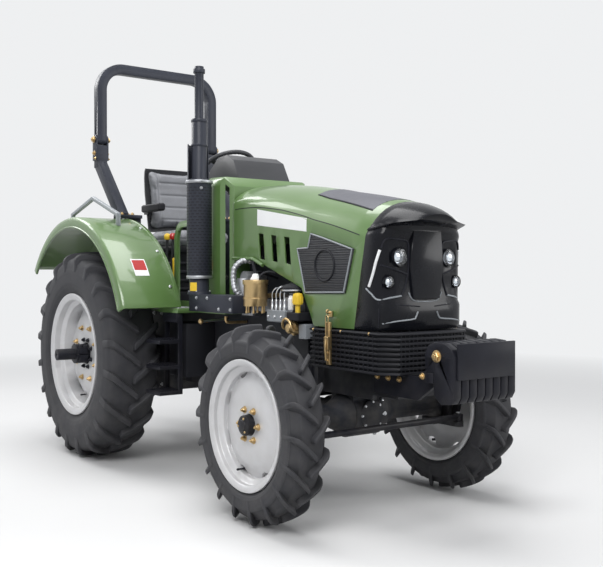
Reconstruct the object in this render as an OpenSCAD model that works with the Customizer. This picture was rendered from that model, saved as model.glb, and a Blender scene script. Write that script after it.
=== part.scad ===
// Four wheel drive farm tractor with an open platform and a folding roll bar.
// Millimetres. +X is forward, +Y is left, +Z is up, and the lugs stand on Z = 0.

/* [Layout] */
// Distance between the front and rear axles
wheelbase = 2105; // [2080:5:2140]
// Distance between the middles of the rear tyres
rear_track = 1290; // [1280:2:1330]
// Distance between the middles of the front tyres
front_track = 1296; // [1290:2:1330]

/* [Tyres] */
// Outside diameter of a rear tyre over its lugs
rear_tyre_d = 1410; // [1390:2:1420]
// Width of a rear tyre
rear_tyre_w = 364; // [350:2:374]
// Lugs on each half of a rear tyre
rear_lugs = 20; // [16:1:22]
// Outside diameter of a front tyre over its lugs
front_tyre_d = 1004; // [990:2:1012]
// Width of a front tyre
front_tyre_w = 210; // [200:2:220]
// Lugs on each half of a front tyre
front_lugs = 18; // [14:1:20]
// Height of the lugs above the carcass
lug_h = 34; // [26:1:38]

/* [Hood] */
// Width of the hood at the cowl
hood_w = 600; // [580:2:620]
// Thickness of the hood panels
hood_t = 8; // [6:1:10]
// Cooling slots on each side of the hood
hood_slots = 3; // [2:1:4]

/* [Roll bar] */
// Height of the roll bar above the ground
rops_h = 2820; // [2760:10:2860]
// Width over the roll bar's posts
rops_w = 1000; // [980:5:1020]
// Side of the square roll bar tube
rops_tube = 72; // [64:2:76]

/* [Exhaust] */
// Height of the exhaust's open end above the ground
stack_top = 2520; // [2420:10:2600]
// Outside diameter of the heat shield
shield_d = 152; // [146:2:158]

/* [Operator] */
// Width of the seat cushion
seat_w = 480; // [440:10:520]
// Outside diameter of the steering wheel
steer_wheel_d = 410; // [380:10:430]

/* [Front weights] */
// Number of weight slabs
weight_n = 8; // [6:2:8]
// Thickness of one weight slab
weight_t = 46; // [40:1:47]

/* [Hitch] */
// Bore of the lower link balls
ball_bore = 28.7; // [22.4:0.1:30]
// Bore of the top link bracket
top_bore = 25.7; // [19.3:0.1:26]
// Bore of the drawbar's end
drawbar_bore = 33; // [27:1:36]

/* [Hidden] */
$fn = 64;

// Radial clearance of pins and shafts that turn
run = 0.05;
// Gap between a moving piece and its neighbour
gap = 6;

// Wheel centres
rear_x = -1050;
rear_y = rear_track / 2;
rear_z = rear_tyre_d / 2;
front_x = rear_x + wheelbase;
front_y = front_track / 2;
front_z = front_tyre_d / 2;

// Rims: width over the flanges, bead seat, flange and well radii
rear_rim_w = rear_tyre_w - 29;
rear_seat_r = rear_z - 324;
rear_flange_r = rear_seat_r + 35;
front_rim_w = front_tyre_w - 14;
front_seat_r = front_z - 197;
front_flange_r = front_seat_r + 25;
front_flat = front_seat_r - 120;
flange_t = 14;

// Rear drive: bar axle and the trumpet it turns in
bar_r = 38;
bar_out = 275;
trumpet_r = 95;
trumpet_y = 430;
house_w = 210;

// Front drive: kingpin, knuckle and spindle, measured from the kingpin
kingpin_y = front_y - 88;
kingpin_r = 20;
boss_r = 55;
boss_h = 70;
plate_z = boss_h + gap;
plate_t = 30;
wall_y = boss_r + gap + 1;
wall_t = 38;
spindle_r = 40;
hub_back = wall_y + wall_t - 88 + gap;
disc_back = 41;
arm_x = 210;
arm_pin_r = 12;
eye_z = plate_z - 22;
tie_r = 17;

// Chassis heights
engine_w = 215;
deck_z = 1010;
deck_t = 30;
floor_z = deck_z + deck_t;
deck_front = -130;
step_gap = 15;
lever_gap = 40;
saddle_z = front_z + 138;
support_top = saddle_z + 130;

// Hood: rear and front ends, hinge, dividing line to the mask
cowl_x = 190;
hood_x0 = cowl_x + 25;
hood_hinge = [hood_x0 + 36, 1738];
hood_pin_r = 10;
nose_x = front_x + 305;
hood_low = 980;
guard_top = hood_low - 8;

// Fender shell about the rear axle
fender_r = rear_z + 235;
fender_t = 14;
fender_in = rear_y - 190 - 25;
fender_out = fender_in + 400;
fender_lip = 70;
fender_a0 = asin((floor_z + 2 - rear_z) / (fender_r - fender_t));
fender_a1 = 141;
crown_z = rear_z + fender_r;

// Roll bar: fold pin, bend and foot
rops_x = -1374;
rops_y = (rops_w - rops_tube) / 2;
foot_x = -990;
foot_z = crown_z + 2;
fold_z = foot_z + 0.51 * (rops_h - foot_z);
fold_pin_r = 14;
bend_z = foot_z + 0.335 * (rops_h - foot_z);
leg_y = 375;

// Exhaust position
stack_x = 40;
stack_y = -hood_w / 2 - 120;
muffler_r = 60;

// Steering wheel: centre, lean of the column
steer_at = [-335, 0, 1950];
steer_lean = 35;
column_r = 22;

// Hitch pivots in the XZ plane, arm vector and places across
rock_at = [-1405, 1070];
link_at = [-1290, 480];
hitch_arm = [-299, -22];
link_ball = [-1957, 431];
rock_r = 30;
link_pin_r = 16;
lift_pin_r = 14;
arm_y = 305;
rod_y0 = arm_y + 50;
ball_r = 33;
ball_w = 59.4;
ball_y = 405;

// Power take-off stub
pto_z = 640;
pto_r = 17.5;

// Helpers: boxes and rods between stated limits
module box(x, y, z) {
    translate([x[0], y[0], z[0]]) cube([x[1] - x[0], y[1] - y[0], z[1] - z[0]]);
}

module rod_x(r, x, y, z) {
    translate([x[0], y, z]) rotate([0, 90, 0]) cylinder(r = r, h = x[1] - x[0]);
}

module rod_y(r, x, y, z) {
    translate([x, y[0], z]) rotate([-90, 0, 0]) cylinder(r = r, h = y[1] - y[0]);
}

module rod_z(r, x, y, z) {
    translate([x, y, z[0]]) cylinder(r = r, h = z[1] - z[0]);
}

// Round or square bar from point p to point q
module aim(p, q) {
    v = q - p;
    translate(p) rotate([0, acos(v[2] / norm(v)), atan2(v[1], v[0])]) children();
}

module rod(p, q, r) {
    aim(p, q) cylinder(r = r, h = norm(q - p));
}

module bar(p, q, w, h) {
    aim(p, q) translate([-h / 2, -w / 2, 0]) cube([h, w, norm(q - p)]);
}

// Plate with a side outline in X and Z, between two values of Y
module side_plate(pts, y) {
    translate([0, y[1], 0]) rotate([90, 0, 0]) linear_extrude(y[1] - y[0]) polygon(pts);
}

module both() {
    children();
    mirror([0, 1, 0]) children();
}

// Turned shape about the wheel's axis, from radius and offset pairs
module turned(pts) {
    rotate([-90, 0, 0]) rotate_extrude($fn = 96) polygon(pts);
}

// Outline that is the same on both sides of the wheel's middle
function flip(pts) = [for (i = [len(pts) - 1:-1:0]) [pts[i][0], -pts[i][1]]];

// Four-sided faces cut into triangles
function thirds(faces) = [for (f = faces) each [[f[0], f[1], f[2]], [f[0], f[2], f[3]]]];

// Closed skin between an outer and an inner grid of points
module skin(outer, inner) {
    m = len(outer);
    n = len(outer[0]);
    o = m * n;
    pts = concat([for (r = outer) each r], [for (r = inner) each r]);
    top = [for (i = [0:m - 2]) for (j = [0:n - 2])
        [i * n + j, i * n + j + 1, (i + 1) * n + j + 1, (i + 1) * n + j]];
    low = [for (f = top) [o + f[3], o + f[2], o + f[1], o + f[0]]];
    ends = [for (j = [0:n - 2]) each [
        [j + 1, j, o + j, o + j + 1],
        [(m - 1) * n + j, (m - 1) * n + j + 1, o + (m - 1) * n + j + 1, o + (m - 1) * n + j]]];
    edges = [for (i = [0:m - 2]) each [
        [i * n, (i + 1) * n, o + (i + 1) * n, o + i * n],
        [(i + 1) * n + n - 1, i * n + n - 1, o + i * n + n - 1, o + (i + 1) * n + n - 1]]];
    polyhedron(points = pts, faces = thirds(concat(top, low, ends, edges)));
}

// Solid through a row of sections; the ends close to their first or their middle point
module loft(secs, middle = false) {
    n = len(secs[0]);
    last = (len(secs) - 1) * n;
    m = last + n;
    mid = function(q) [for (c = [0:2]) [for (p = q) p[c]] * [for (p = q) 1 / n]];
    sides = [for (k = [0:len(secs) - 2]) for (i = [0:n - 1])
        [k * n + i, k * n + (i + 1) % n, (k + 1) * n + (i + 1) % n, (k + 1) * n + i]];
    fan = [for (i = [1:n - 2]) each [[0, i + 1, i], [last, last + i, last + i + 1]]];
    star = [for (i = [0:n - 1]) each [[m, (i + 1) % n, i], [m + 1, last + i, last + (i + 1) % n]]];
    ends = middle ? [mid(secs[0]), mid(secs[len(secs) - 1])] : [];
    polyhedron(points = concat([for (s = secs) each s], ends), faces = concat(thirds(sides), middle ? star : fan));
}

// One lug: stations from past the middle to the shoulder
module lug(r, w, lead) {
    base = r - lug_h;
    stations = [
        [-0.04, r, base - 14, 1.00],
        [0.20, r - 3, base - 16, 0.52],
        [0.40, r - 14, base - 36, 0.12],
        [0.49, r - 44, base - 96, 0.00]];
    top_w = 0.115 * w;
    low_w = 0.175 * w;
    ring = function(s) [
        for (c = [[-low_w, s[2]], [low_w, s[2]], [top_w, s[1]], [-top_w, s[1]]])
            let (a = lead * s[3] + c[0] / 2 / r * 180 / PI)
            [c[1] * sin(a), s[0] * w, c[1] * cos(a)]];
    loft([for (s = stations) ring(s)]);
}

module tyre(d, w, seat_r, flange_r, bead, lugs, lead) {
    r = d / 2;
    base = r - lug_h;
    half = w / 2;
    depth = base - seat_r;
    wall = [
        [seat_r, bead], [flange_r + 1, bead], [seat_r + 0.32 * depth, half - 4],
        [seat_r + 0.50 * depth, half], [seat_r + 0.70 * depth, half - 4], [base - 42, half - 14],
        [base - 16, half - 36], [base - 4, half * 0.55], [base, half * 0.2]];
    lead_bottom = 180 - lead + 0.115 * w / 2 / r * 180 / PI;
    union() {
        turned(concat(wall, flip(wall)));
        for (i = [0:lugs - 1]) {
            rotate([0, lead_bottom + i * 360 / lugs, 0]) lug(r, w, lead);
            mirror([0, 1, 0]) rotate([0, lead_bottom + (i + 0.5) * 360 / lugs, 0]) lug(r, w, lead);
        }
    }
}

// Rim barrel with flanges and a well
module barrel(w, seat_r, flange_r, well) {
    h = w / 2;
    b = h - flange_t;
    t = 9;
    low = seat_r - 29;
    out = [[low, well], [seat_r, well + 20], [seat_r, b], [flange_r, b], [flange_r, h]];
    in = [[flange_r - 12, h], [seat_r - t, b + 2], [seat_r - t, well + 24], [low - t, well + 4]];
    half = concat(out, in);
    turned(concat(flip(out), out, in, flip(in)));
}

module rear_rim() {
    face = 50;
    edge = rear_seat_r - 36;
    flat = edge - 105;
    disc = [[75, face], [flat, face], [edge, -6], [edge, 10], [flat + 6, face + 14], [75, face + 14]];
    union() {
        barrel(rear_rim_w, rear_seat_r, rear_flange_r, 90);
        difference() {
            turned(disc);
            for (a = [0:45:315]) rotate([0, a, 0]) rod_y(0.2145 * edge, 0, [-60, 120], edge + 22);
        }
    }
}

module rear_hub() {
    difference() {
        union() {
            rod_y(120, 0, [14, 50], 0);
            rod_y(66, 0, [14, 150], 0);
            box([-78, 78], [84, 140], [-46, 46]);
            rod_y(bar_r, 0, [trumpet_y - 100 - rear_y, bar_out], 0);
        }
        box([-90, 90], [80, 150], [-3, 3]);
        rod_y(8, 0, [bar_out - 24, bar_out + 1], 0);
    }
}

module front_rim() {
    edge = front_seat_r - 34;
    face = disc_back + 12;
    disc = [[54, disc_back], [front_flat, disc_back], [edge, 4], [edge, 18], [front_flat + 6, face], [54, face]];
    union() {
        barrel(front_rim_w, front_seat_r, front_flange_r, 40);
        difference() {
            turned(disc);
            for (a = [22.5:45:360]) rotate([0, a, 0]) rod_y(0.17 * edge, 0, [-40, 90], edge + 20);
        }
    }
}

module front_hub() {
    difference() {
        union() {
            rod_y(0.584 * front_flat, 0, [hub_back, disc_back], 0);
            rod_y(51, 0, [hub_back, 82], 0);
        }
        rod_y(spindle_r + run, 0, [hub_back - 1, 72], 0);
    }
}

// Knuckle about its kingpin, outboard towards +Y
module knuckle() {
    union() {
        both_ends = [plate_z, -plate_z - plate_t];
        for (z = both_ends) {
            rod_z(boss_r + 5, 0, 0, [z, z + plate_t]);
            box([-60, 60], [0, wall_y + 1], [z, z + plate_t]);
        }
        box([-70, 70], [wall_y, wall_y + wall_t], [-plate_z - plate_t, plate_z + plate_t]);
        rod_z(kingpin_r, 0, 0, [-plate_z - plate_t, plate_z + plate_t]);
        rod_y(spindle_r, 0, [wall_y + 1, 88 + 68], 0);
        box([0, arm_x], [-28, 28], [-plate_z - plate_t, -plate_z]);
        rod_z(28, arm_x, 0, [-plate_z - plate_t, -plate_z]);
        rod_z(arm_pin_r, arm_x, 0, [-plate_z - 1, -plate_z + 46]);
    }
}

module tie_rod() {
    color("dimgray") difference() {
        union() {
            rod_y(tie_r, front_x + arm_x, [-kingpin_y, kingpin_y], front_z - eye_z);
            both() rod_z(26, front_x + arm_x, kingpin_y, [front_z - plate_z + 4, front_z - plate_z + 40]);
        }
        both() rod_z(arm_pin_r + run, front_x + arm_x, kingpin_y, [0, front_z]);
    }
}

module at_front(side) {
    translate([front_x, 0, front_z]) mirror([0, side < 0 ? 1 : 0, 0]) translate([0, front_y, 0]) children();
}

module at_rear(side) {
    translate([rear_x, 0, rear_z]) mirror([0, side < 0 ? 1 : 0, 0]) translate([0, rear_y, 0]) children();
}

module at_kingpin(side) {
    translate([front_x, 0, front_z]) mirror([0, side < 0 ? 1 : 0, 0]) translate([0, kingpin_y, 0]) children();
}

module front_tyre() {
    tyre(front_tyre_d, front_tyre_w, front_seat_r, front_flange_r, front_rim_w / 2 - flange_t, front_lugs, 11.5);
}

module rear_tyre() {
    tyre(rear_tyre_d, rear_tyre_w, rear_seat_r, rear_flange_r, rear_rim_w / 2 - flange_t, rear_lugs, 12);
}

module front_tyre_right() { color("#26272b") at_front(-1) front_tyre(); }
module front_tyre_left() { color("#26272b") at_front(1) front_tyre(); }
module rear_tyre_right() { color("#26272b") at_rear(-1) rear_tyre(); }
module rear_tyre_left() { color("#26272b") at_rear(1) rear_tyre(); }
module front_rim_right() { color("silver") at_front(-1) front_rim(); }
module front_rim_left() { color("silver") at_front(1) front_rim(); }
module rear_rim_right() { color("silver") at_rear(-1) rear_rim(); }
module rear_rim_left() { color("silver") at_rear(1) rear_rim(); }
module front_hub_right() { color("#2c2d33") at_front(-1) front_hub(); }
module front_hub_left() { color("#2c2d33") at_front(1) front_hub(); }
module rear_hub_right() { color("#2c2d33") at_rear(-1) rear_hub(); }
module rear_hub_left() { color("#2c2d33") at_rear(1) rear_hub(); }
module knuckle_right() { color("#33343a") at_kingpin(-1) knuckle(); }
module knuckle_left() { color("#33343a") at_kingpin(1) knuckle(); }

// Gearbox, rear housing, lift housing and the hitch's fixed pins in one casting
module transmission() {
    color("#2b2d33") difference() {
        union() {
            box([-1370, -760], [-house_w, house_w], [440, deck_z]);
            box([-770, -140], [-170, 170], [520, deck_z]);
            box([-150, cowl_x], [-200, 200], [front_z + 58, deck_z]);
            box([-190, -100], [-95, 95], [front_z - 72, front_z + 63]);
            box([-1465, -1360], [-190, 190], [985, 1130]);
            box([-1500, -1455], [-28, 28], [860, 1120]);
            rod_y(link_pin_r, link_at[0], [-house_w - 62, house_w + 62], link_at[1]);
            rod_x(70, [-1390, -1365], 0, pto_z);
        }
        rod_y(rock_r + run, rock_at[0], [-300, 300], rock_at[1]);
        rod_x(pto_r + 5 + run, [-1410, -1290], 0, pto_z);
        for (z = [900, 960]) rod_y(top_bore / 2, -1478, [-40, 40], z);
        box([-1510, -1454], [-12, 12], [840, 1090]);
    }
}

module axle_trumpets() {
    color("#2b2d33") both() difference() {
        union() {
            rod_y(trumpet_r, rear_x, [house_w, trumpet_y], rear_z);
            rod_y(trumpet_r + 35, rear_x, [house_w, house_w + 30], rear_z);
            box([foot_x - 70, foot_x + 40], [leg_y - 45, leg_y + 45], [rear_z, rear_z + trumpet_r + 10]);
        }
        rod_y(bar_r + run, rear_x, [trumpet_y - 102, trumpet_y + 1], rear_z);
    }
}

// Engine: block, sump and rocker cover
module engine_block() {
    color("#2f3138") union() {
        box([cowl_x, front_x - 165], [-engine_w, engine_w], [saddle_z, 1150]);
        box([cowl_x + 30, front_x - 205], [-150, 150], [front_z + 73, saddle_z + 10]);
        box([cowl_x + 20, front_x - 195], [-165, 165], [1140, 1330]);
        box([cowl_x + 40, front_x - 225], [-95, 95], [1320, 1430]);
    }
}

// Pump, generator and intake pipe on the engine's right side
module engine_fittings() {
    color("#8d9097") union() {
        box([300, 420], [-275, -engine_w], [1010, 1130]);
        box([419, 760], [-262, -engine_w], [1040, 1110]);
        rod_y(62, 800, [-300, -engine_w], 1065);
        rod_y(42, 360, [-300, -165], 1230);
        rod_z(40, 360, -300, [1080, 1230]);
    }
}

module fuel_filter() {
    color("goldenrod") union() {
        rod_z(67, 600, -372, [1075, 1196]);
        rod_z(73, 600, -372, [1196, 1222]);
        box([570, 630], [-372, -engine_w], [1120, 1146]);
    }
}

module front_support() {
    color("#2b2d33") union() {
        box([front_x - 165, front_x + 490], [-150, 150], [saddle_z, support_top]);
        box([front_x - 165, front_x - 110], [-190, 190], [saddle_z - 30, support_top + 120]);
        both() box([front_x - 165, front_x + 300], [120, 150], [saddle_z - 25, saddle_z + 10]);
    }
}

// Driven axle with its kingpin bosses, differential and drive shaft guard
module front_axle() {
    color("#2b2d33") difference() {
        union() {
            rod_y(60, front_x, [-kingpin_y, kingpin_y], front_z);
            both() rod_z(boss_r, front_x, kingpin_y, [front_z - boss_h, front_z + boss_h]);
            rod_y(125, front_x, [-105, 105], front_z);
            both() translate([front_x, 104, front_z]) rotate([-90, 0, 0]) cylinder(r1 = 115, r2 = 60, h = 110);
            rod_x(65, [front_x - 250, front_x], 0, front_z);
            rod_x(42, [-100, front_x - 240], 0, front_z);
            box([front_x - 95, front_x + 95], [-110, 110], [front_z + 60, saddle_z]);
        }
        both() rod_z(kingpin_r + run, front_x, kingpin_y, [0, 900]);
    }
}

// Louvred guard below the hood
guard_pts = [
    [front_x - 35, -298], [front_x + 505, -298], [front_x + 585, -222], [front_x + 598, 0],
    [front_x + 585, 222], [front_x + 505, 298], [front_x - 35, 298]];
guard_core = [
    [front_x - 35, -284], [front_x + 499, -284], [front_x + 571, -216], [front_x + 584, 0],
    [front_x + 571, 216], [front_x + 499, 284], [front_x - 35, 284]];

module lower_guard() {
    slats = 9;
    pitch = (guard_top - support_top - 12) / (slats - 1);
    color("#1f2024") union() {
        translate([0, 0, support_top]) linear_extrude(guard_top - support_top) polygon(guard_core);
        for (i = [0:slats - 1]) {
            translate([0, 0, support_top + i * pitch]) linear_extrude(12) polygon(guard_pts);
        }
    }
}

// Carrier for the front weights
bar_x = [front_x + 740, front_x + 790];
bar_z = [support_top - 18, support_top + 30];
weight_half = (weight_n * (weight_t + 6) - 6) / 2;

module weight_bracket() {
    plate = [
        [front_x + 330, support_top - 110], [front_x + 330, support_top - 2], [front_x + 640, support_top - 2],
        [front_x + 740, bar_z[1]], [bar_x[1], bar_z[1]], [bar_x[1], bar_z[0]], [front_x + 650, support_top - 114]];
    color("#26282d") union() {
        both() side_plate(plate, [150, 172]);
        box(bar_x, [-weight_half, weight_half], bar_z);
    }
}

module front_weights() {
    front = front_x + 923;
    z = bar_z[1];
    slab = [
        [bar_x[0], z], [bar_x[0] - 6, z + 80], [bar_x[0] + 14, z + 125], [bar_x[0] + 60, z + 145],
        [front - 60, z + 140], [front - 16, z + 115], [front, z + 80], [front, z - 100], [front - 18, z - 132],
        [front - 84, z - 140], [bar_x[1] + 2, z - 100], [bar_x[1] + 2, z]];
    color("#1b1c20") for (i = [0:weight_n - 1]) {
        y = -weight_half + i * (weight_t + 6);
        difference() {
            side_plate(slab, [y, y + weight_t]);
            rod_y(26, bar_x[0] + 74, [y - 1, y + weight_t + 1], z + 80);
        }
    }
}

module front_plate() {
    color("#17181b") box([front_x + 923, front_x + 935], [-190, 190], [bar_z[1] - 22, bar_z[1] + 142]);
}

// Guard frame beside the exhaust, as X and height above the floor
frame_out = [[-480, 1], [-80, 1], [-80, 640], [-180, 620], [-230, 572], [-400, 560], [-445, 535], [-480, 470]];
frame_in = [[-440, 40], [-270, 40], [-270, 528], [-390, 522], [-424, 500], [-440, 455]];

// Front view with rounded top corners: half width, top and corner radius
function shoulders(half, top, r) =
    let (right = [for (a = [0:15:90]) [half - r + r * cos(a), top - r + r * sin(a)]])
    concat([[half, deck_z]], right, [for (i = [len(right) - 1:-1:0]) [-right[i][0], right[i][1]]], [[-half, deck_z]]);

// Cowl: firewall and side panels
module cowl() {
    half = hood_w / 2 + 20;
    side = [[-190, floor_z], [cowl_x, floor_z], [cowl_x, 1790], [cowl_x - 60, 1850], [-60, 1862],
        [-190, 1800], [-120, 1400]];
    inner = [[-400, floor_z - 1], [cowl_x - 24, floor_z - 1], [cowl_x - 24, 1780],
        [cowl_x - 70, 1832], [-400, 1832]];
    color("#4d7a3c") union() {
        translate([0, 0, floor_z - 1]) difference() {
            side_plate(frame_out, [-half - 2, -half + 21]);
            side_plate(frame_in, [-half - 5, -half + 25]);
        }
        both() {
            box([hood_hinge[0] - 13, hood_hinge[0] + 14], [118, 144], [hood_hinge[1] - 56, hood_hinge[1] + 14]);
            box([cowl_x - 10, hood_hinge[0] + 14], [118, 144], [hood_hinge[1] - 56, hood_hinge[1] - 30]);
            rod_y(hood_pin_r, hood_hinge[0], [118, 176], hood_hinge[1]);
        }
        difference() {
            intersection() {
                side_plate(side, [-half, half]);
                translate([0, 0, 900]) linear_extrude(1100)
                    polygon([[-400, -half], [cowl_x - 70, -half], [cowl_x, -half + 60], [cowl_x, half - 60],
                        [cowl_x - 70, half], [-400, half]]);
                translate([-400, 0, 0]) rotate([90, 0, 90]) linear_extrude(700) polygon(shoulders(half, 1864, 70));
            }
            side_plate(inner, [-half + 22, half - 22]);
        }
    }
}

// Instrument housing with the steering column
steer_dir = [-sin(steer_lean), 0, cos(steer_lean)];

module dash() {
    housing = [
        [-190, 1800], [-60, 1862], [cowl_x - 60, 1850], [60, 1970], [-20, 2008], [-120, 2000],
        [-230, 1930], [-262, 1850]];
    color("#232428") union() {
        side_plate(housing, [-190, 190]);
        rod(steer_at - 200 * steer_dir, steer_at - 40 * steer_dir, 45);
        rod(steer_at - 45 * steer_dir, steer_at + 30 * steer_dir, column_r);
    }
}

module steering_wheel() {
    r = steer_wheel_d / 2 - 15;
    color("#1b1c1f") translate(steer_at) rotate([0, -steer_lean, 0]) difference() {
        union() {
            rotate_extrude() translate([r, 0]) circle(15);
            for (a = [60, 180, 300]) rotate([0, 0, a]) box([20, r], [-16, 16], [-6, 6]);
            cylinder(r = 48, h = 46, center = true);
        }
        translate([0, 0, -40]) cylinder(r = column_r + run, h = 72);
    }
}

// Floor with cut-outs for the roll bar's legs
module platform() {
    color("#7d8288") difference() {
        union() {
            box([-1350, -395], [-fender_in - fender_t - 1, fender_in + fender_t + 1], [deck_z, floor_z]);
            box([-396, deck_front], [-480, 480], [deck_z, floor_z]);
            box([-396, cowl_x], [-330, 330], [deck_z, floor_z]);
        }
        both() box([foot_x - 60, foot_x + 60], [leg_y - 50, leg_y + 50], [deck_z - 1, floor_z + 1]);
    }
}

// Ladder on each side
module steps() {
    x = [rear_x + rear_z + step_gap, deck_front - 10];
    color("#2a2b30") both() union() {
        for (k = [x[0], x[1] - 12]) box([k, k + 12], [440, 470], [500, deck_z]);
        for (z = [500, 660, 820]) box(x, [440, 600], [z, z + 24]);
        box(x, [440, 480], [deck_z - 60, deck_z]);
    }
}

// Fender: crown, lip and inner wall, s is 1 on the left side and -1 on the right
module fender(s) {
    crown = [[fender_r - fender_t, fender_in], [fender_r, fender_in], [fender_r, fender_out - 26],
        [fender_r - 8, fender_out - 8], [fender_r - 26, fender_out], [fender_r - fender_lip, fender_out],
        [fender_r - fender_lip, fender_out - fender_t], [fender_r - 30, fender_out - fender_t],
        [fender_r - 15, fender_out - 14], [fender_r - fender_t, fender_out - 30]];
    difference() {
        union() {
            translate([rear_x, 0, rear_z]) rotate([90, 0, 0]) rotate([0, 0, fender_a0])
                rotate_extrude(angle = fender_a1 - fender_a0, $fn = 96) polygon([for (p = crown) [p[0], -s * p[1]]]);
            intersection() {
                rod_y(fender_r - 4, rear_x, on_side(s, fender_in + 1, fender_in + 1 + fender_t), rear_z);
                box([rear_x - 720, rear_x + 840], [-900, 900], [floor_z, crown_z + 100]);
            }
        }
        box([foot_x - 90, foot_x + 60], on_side(s, fender_in - 5, rops_y + rops_tube / 2 + 8),
            [foot_z - 60, foot_z + 60]);
    }
}

// Range across the tractor on one side
function on_side(s, a, b) = s > 0 ? [a, b] : [-b, -a];

module fender_right() { color("#4d7a3c") fender(-1); }
module fender_left() { color("#4d7a3c") fender(1); }

module fender_rails() {
    y = fender_in + 190;
    t = 13;
    rear_top = [rear_x - 470, y, crown_z + 45];
    peak = [rear_x - 85, y, crown_z + 145];
    front_top = [rear_x + 340, y, crown_z + 11];
    color("#7f868c") both() difference() {
        side_plate([
            [rear_top[0] - t, crown_z - 195], [rear_top[0] + t, crown_z - 195],
            [rear_top[0] + t, rear_top[2] - 4], [peak[0], peak[2] - t], [front_top[0] - t, front_top[2] - t],
            [front_top[0] - t, crown_z - 145], [front_top[0] + t, crown_z - 145],
            [front_top[0] + t, front_top[2] + 6], [peak[0] + 4, peak[2] + t], [peak[0] - 4, peak[2] + t],
            [rear_top[0] - t, rear_top[2] + 13]], [y - t, y + t]);
        rod_y(fender_r, rear_x, [0, 1000], rear_z, $fn = 360);
    }
}

// Suspended seat: the rail sets how far forward it stands
seat_rail = -1115;

module seat_base() {
    color("#2a2b2f") translate([seat_rail, 0, 0]) union() {
        box([0, 415], [-175, 175], [floor_z, floor_z + 90]);
        box([30, 385], [-150, 150], [floor_z + 80, 1420]);
        box([0, 415], [-190, 190], [1410, 1452]);
        box([0, 35], [-90, 90], [1440, 1562]);
    }
}

module seat_cushion() {
    h = seat_w / 2;
    pts = [[40, 1452], [440, 1452], [458, 1466], [465, 1490], [462, 1525], [445, 1550], [415, 1562], [340, 1560],
        [200, 1546], [95, 1545], [40, 1560]];
    color("#55585e") translate([seat_rail, 0, 0]) side_plate(pts, [-h, h]);
}

module seat_back() {
    h = seat_w / 2 - 25;
    pts = [[35, 1562], [0, 1562], [-62, 1850], [-70, 1960], [-66, 2010], [-50, 2034], [-28, 2036], [-10, 2018],
        [4, 1960], [10, 1880], [60, 1680], [80, 1600], [75, 1562]];
    color("#55585e") translate([seat_rail, 0, 0]) union() {
        side_plate(pts, [-h, h]);
        both() box([15, 315], [h - 1, h + 60], [1700, 1755]);
    }
}

// Roll bar: fixed posts with fold brackets
module rops_posts() {
    t = rops_tube / 2;
    top = fold_z - t - gap;
    color("#33363b") both() union() {
        difference() {
            box([rops_x - t, rops_x + t], [rops_y - t, rops_y + t], [bend_z, top]);
            side_plate([[rops_x - t - 1, top + 1], [rops_x + 4, top + 1], [rops_x + 4, top - 2],
                [rops_x - t - 1, top - 20]], [rops_y - t - 1, rops_y + t + 1]);
        }
        bar([rops_x + 6, rops_y, bend_z + 20], [foot_x, rops_y, foot_z + 10], rops_tube - 2, rops_tube);
        box([foot_x - 70, foot_x + 50], [leg_y - 40, rops_y + t], [foot_z, foot_z + 24]);
        box([foot_x - 36, foot_x + 36], [leg_y - 36, leg_y + 36], [rear_z + trumpet_r + 10, foot_z + 1]);
        for (y = [rops_y - t - 11, rops_y + t + 1]) {
            box([rops_x - t, rops_x + t], [y, y + 10], [top - 110, fold_z]);
            rod_y(t, rops_x, [y, y + 10], fold_z);
        }
        box([rops_x - t, rops_x + t], [rops_y - t - 11, rops_y + t + 11], [top - 112, top - 70]);
        rod_y(fold_pin_r, rops_x, [rops_y - t - 18, rops_y + t + 18], fold_z);
    }
}

// Roll bar: folding hoop of square tube
module rops_hoop() {
    t = rops_tube / 2;
    bend_r = 170;
    corner_z = rops_h - t - bend_r;
    corner_y = rops_y - bend_r;
    color("#33363b") difference() {
        union() {
            both() box([rops_x - t, rops_x + t], [rops_y - t, rops_y + t], [fold_z, corner_z]);
            both() rod_y(t, rops_x, [rops_y - t, rops_y + t], fold_z);
            both() translate([rops_x, corner_y, corner_z]) rotate([90, 0, 90])
                rotate_extrude(angle = 90) translate([bend_r - t, -t]) square([rops_tube, rops_tube]);
            box([rops_x - t, rops_x + t], [-corner_y, corner_y], [rops_h - rops_tube, rops_h]);
        }
        both() rod_y(fold_pin_r + run, rops_x, [rops_y - t - 1, rops_y + t + 1], fold_z);
    }
}

// Exhaust: cover box beside the engine, muffler and pipe
module exhaust() {
    cover = [stack_x - 40, stack_x + 470];
    color("#2c2e33") difference() {
        union() {
            rod_y(48, stack_x + 205, [stack_y, -engine_w], 1085);
            box(cover, [stack_y - 50, stack_y + 75], [1030, 1132]);
            rod_z(muffler_r + 12, stack_x, stack_y, [1131, 1146]);
            rod_z(muffler_r, stack_x, stack_y, [1131, 1835]);
            rod_z(46, stack_x, stack_y, [1834, 2200]);
            rod_z(28, stack_x, stack_y, [2199, stack_top]);
            rod_z(36, stack_x, stack_y, [stack_top - 40, stack_top - 16]);
        }
        rod_z(23, stack_x, stack_y, [2260, stack_top + 1]);
    }
}

module exhaust_shield() {
    r = shield_d / 2;
    guard_r = r - 4;
    color("#3b3e44") difference() {
        union() {
            rod_z(r, stack_x, stack_y, [1225, 1825]);
            rod_z(r + 5, stack_x, stack_y, [1806, 1824]);
            intersection() {
                difference() {
                    rod_z(guard_r, stack_x, stack_y, [1824, 2045]);
                    rod_z(guard_r - 5, stack_x, stack_y, [1826, 2046]);
                }
                box([stack_x - 100, stack_x - 10], [stack_y - 100, stack_y + 100], [1800, 2100]);
            }
        }
        rod_z(r - 6, stack_x, stack_y, [1240, 1810]);
        rod_z(muffler_r, stack_x, stack_y, [1200, 1850]);
    }
}

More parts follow.
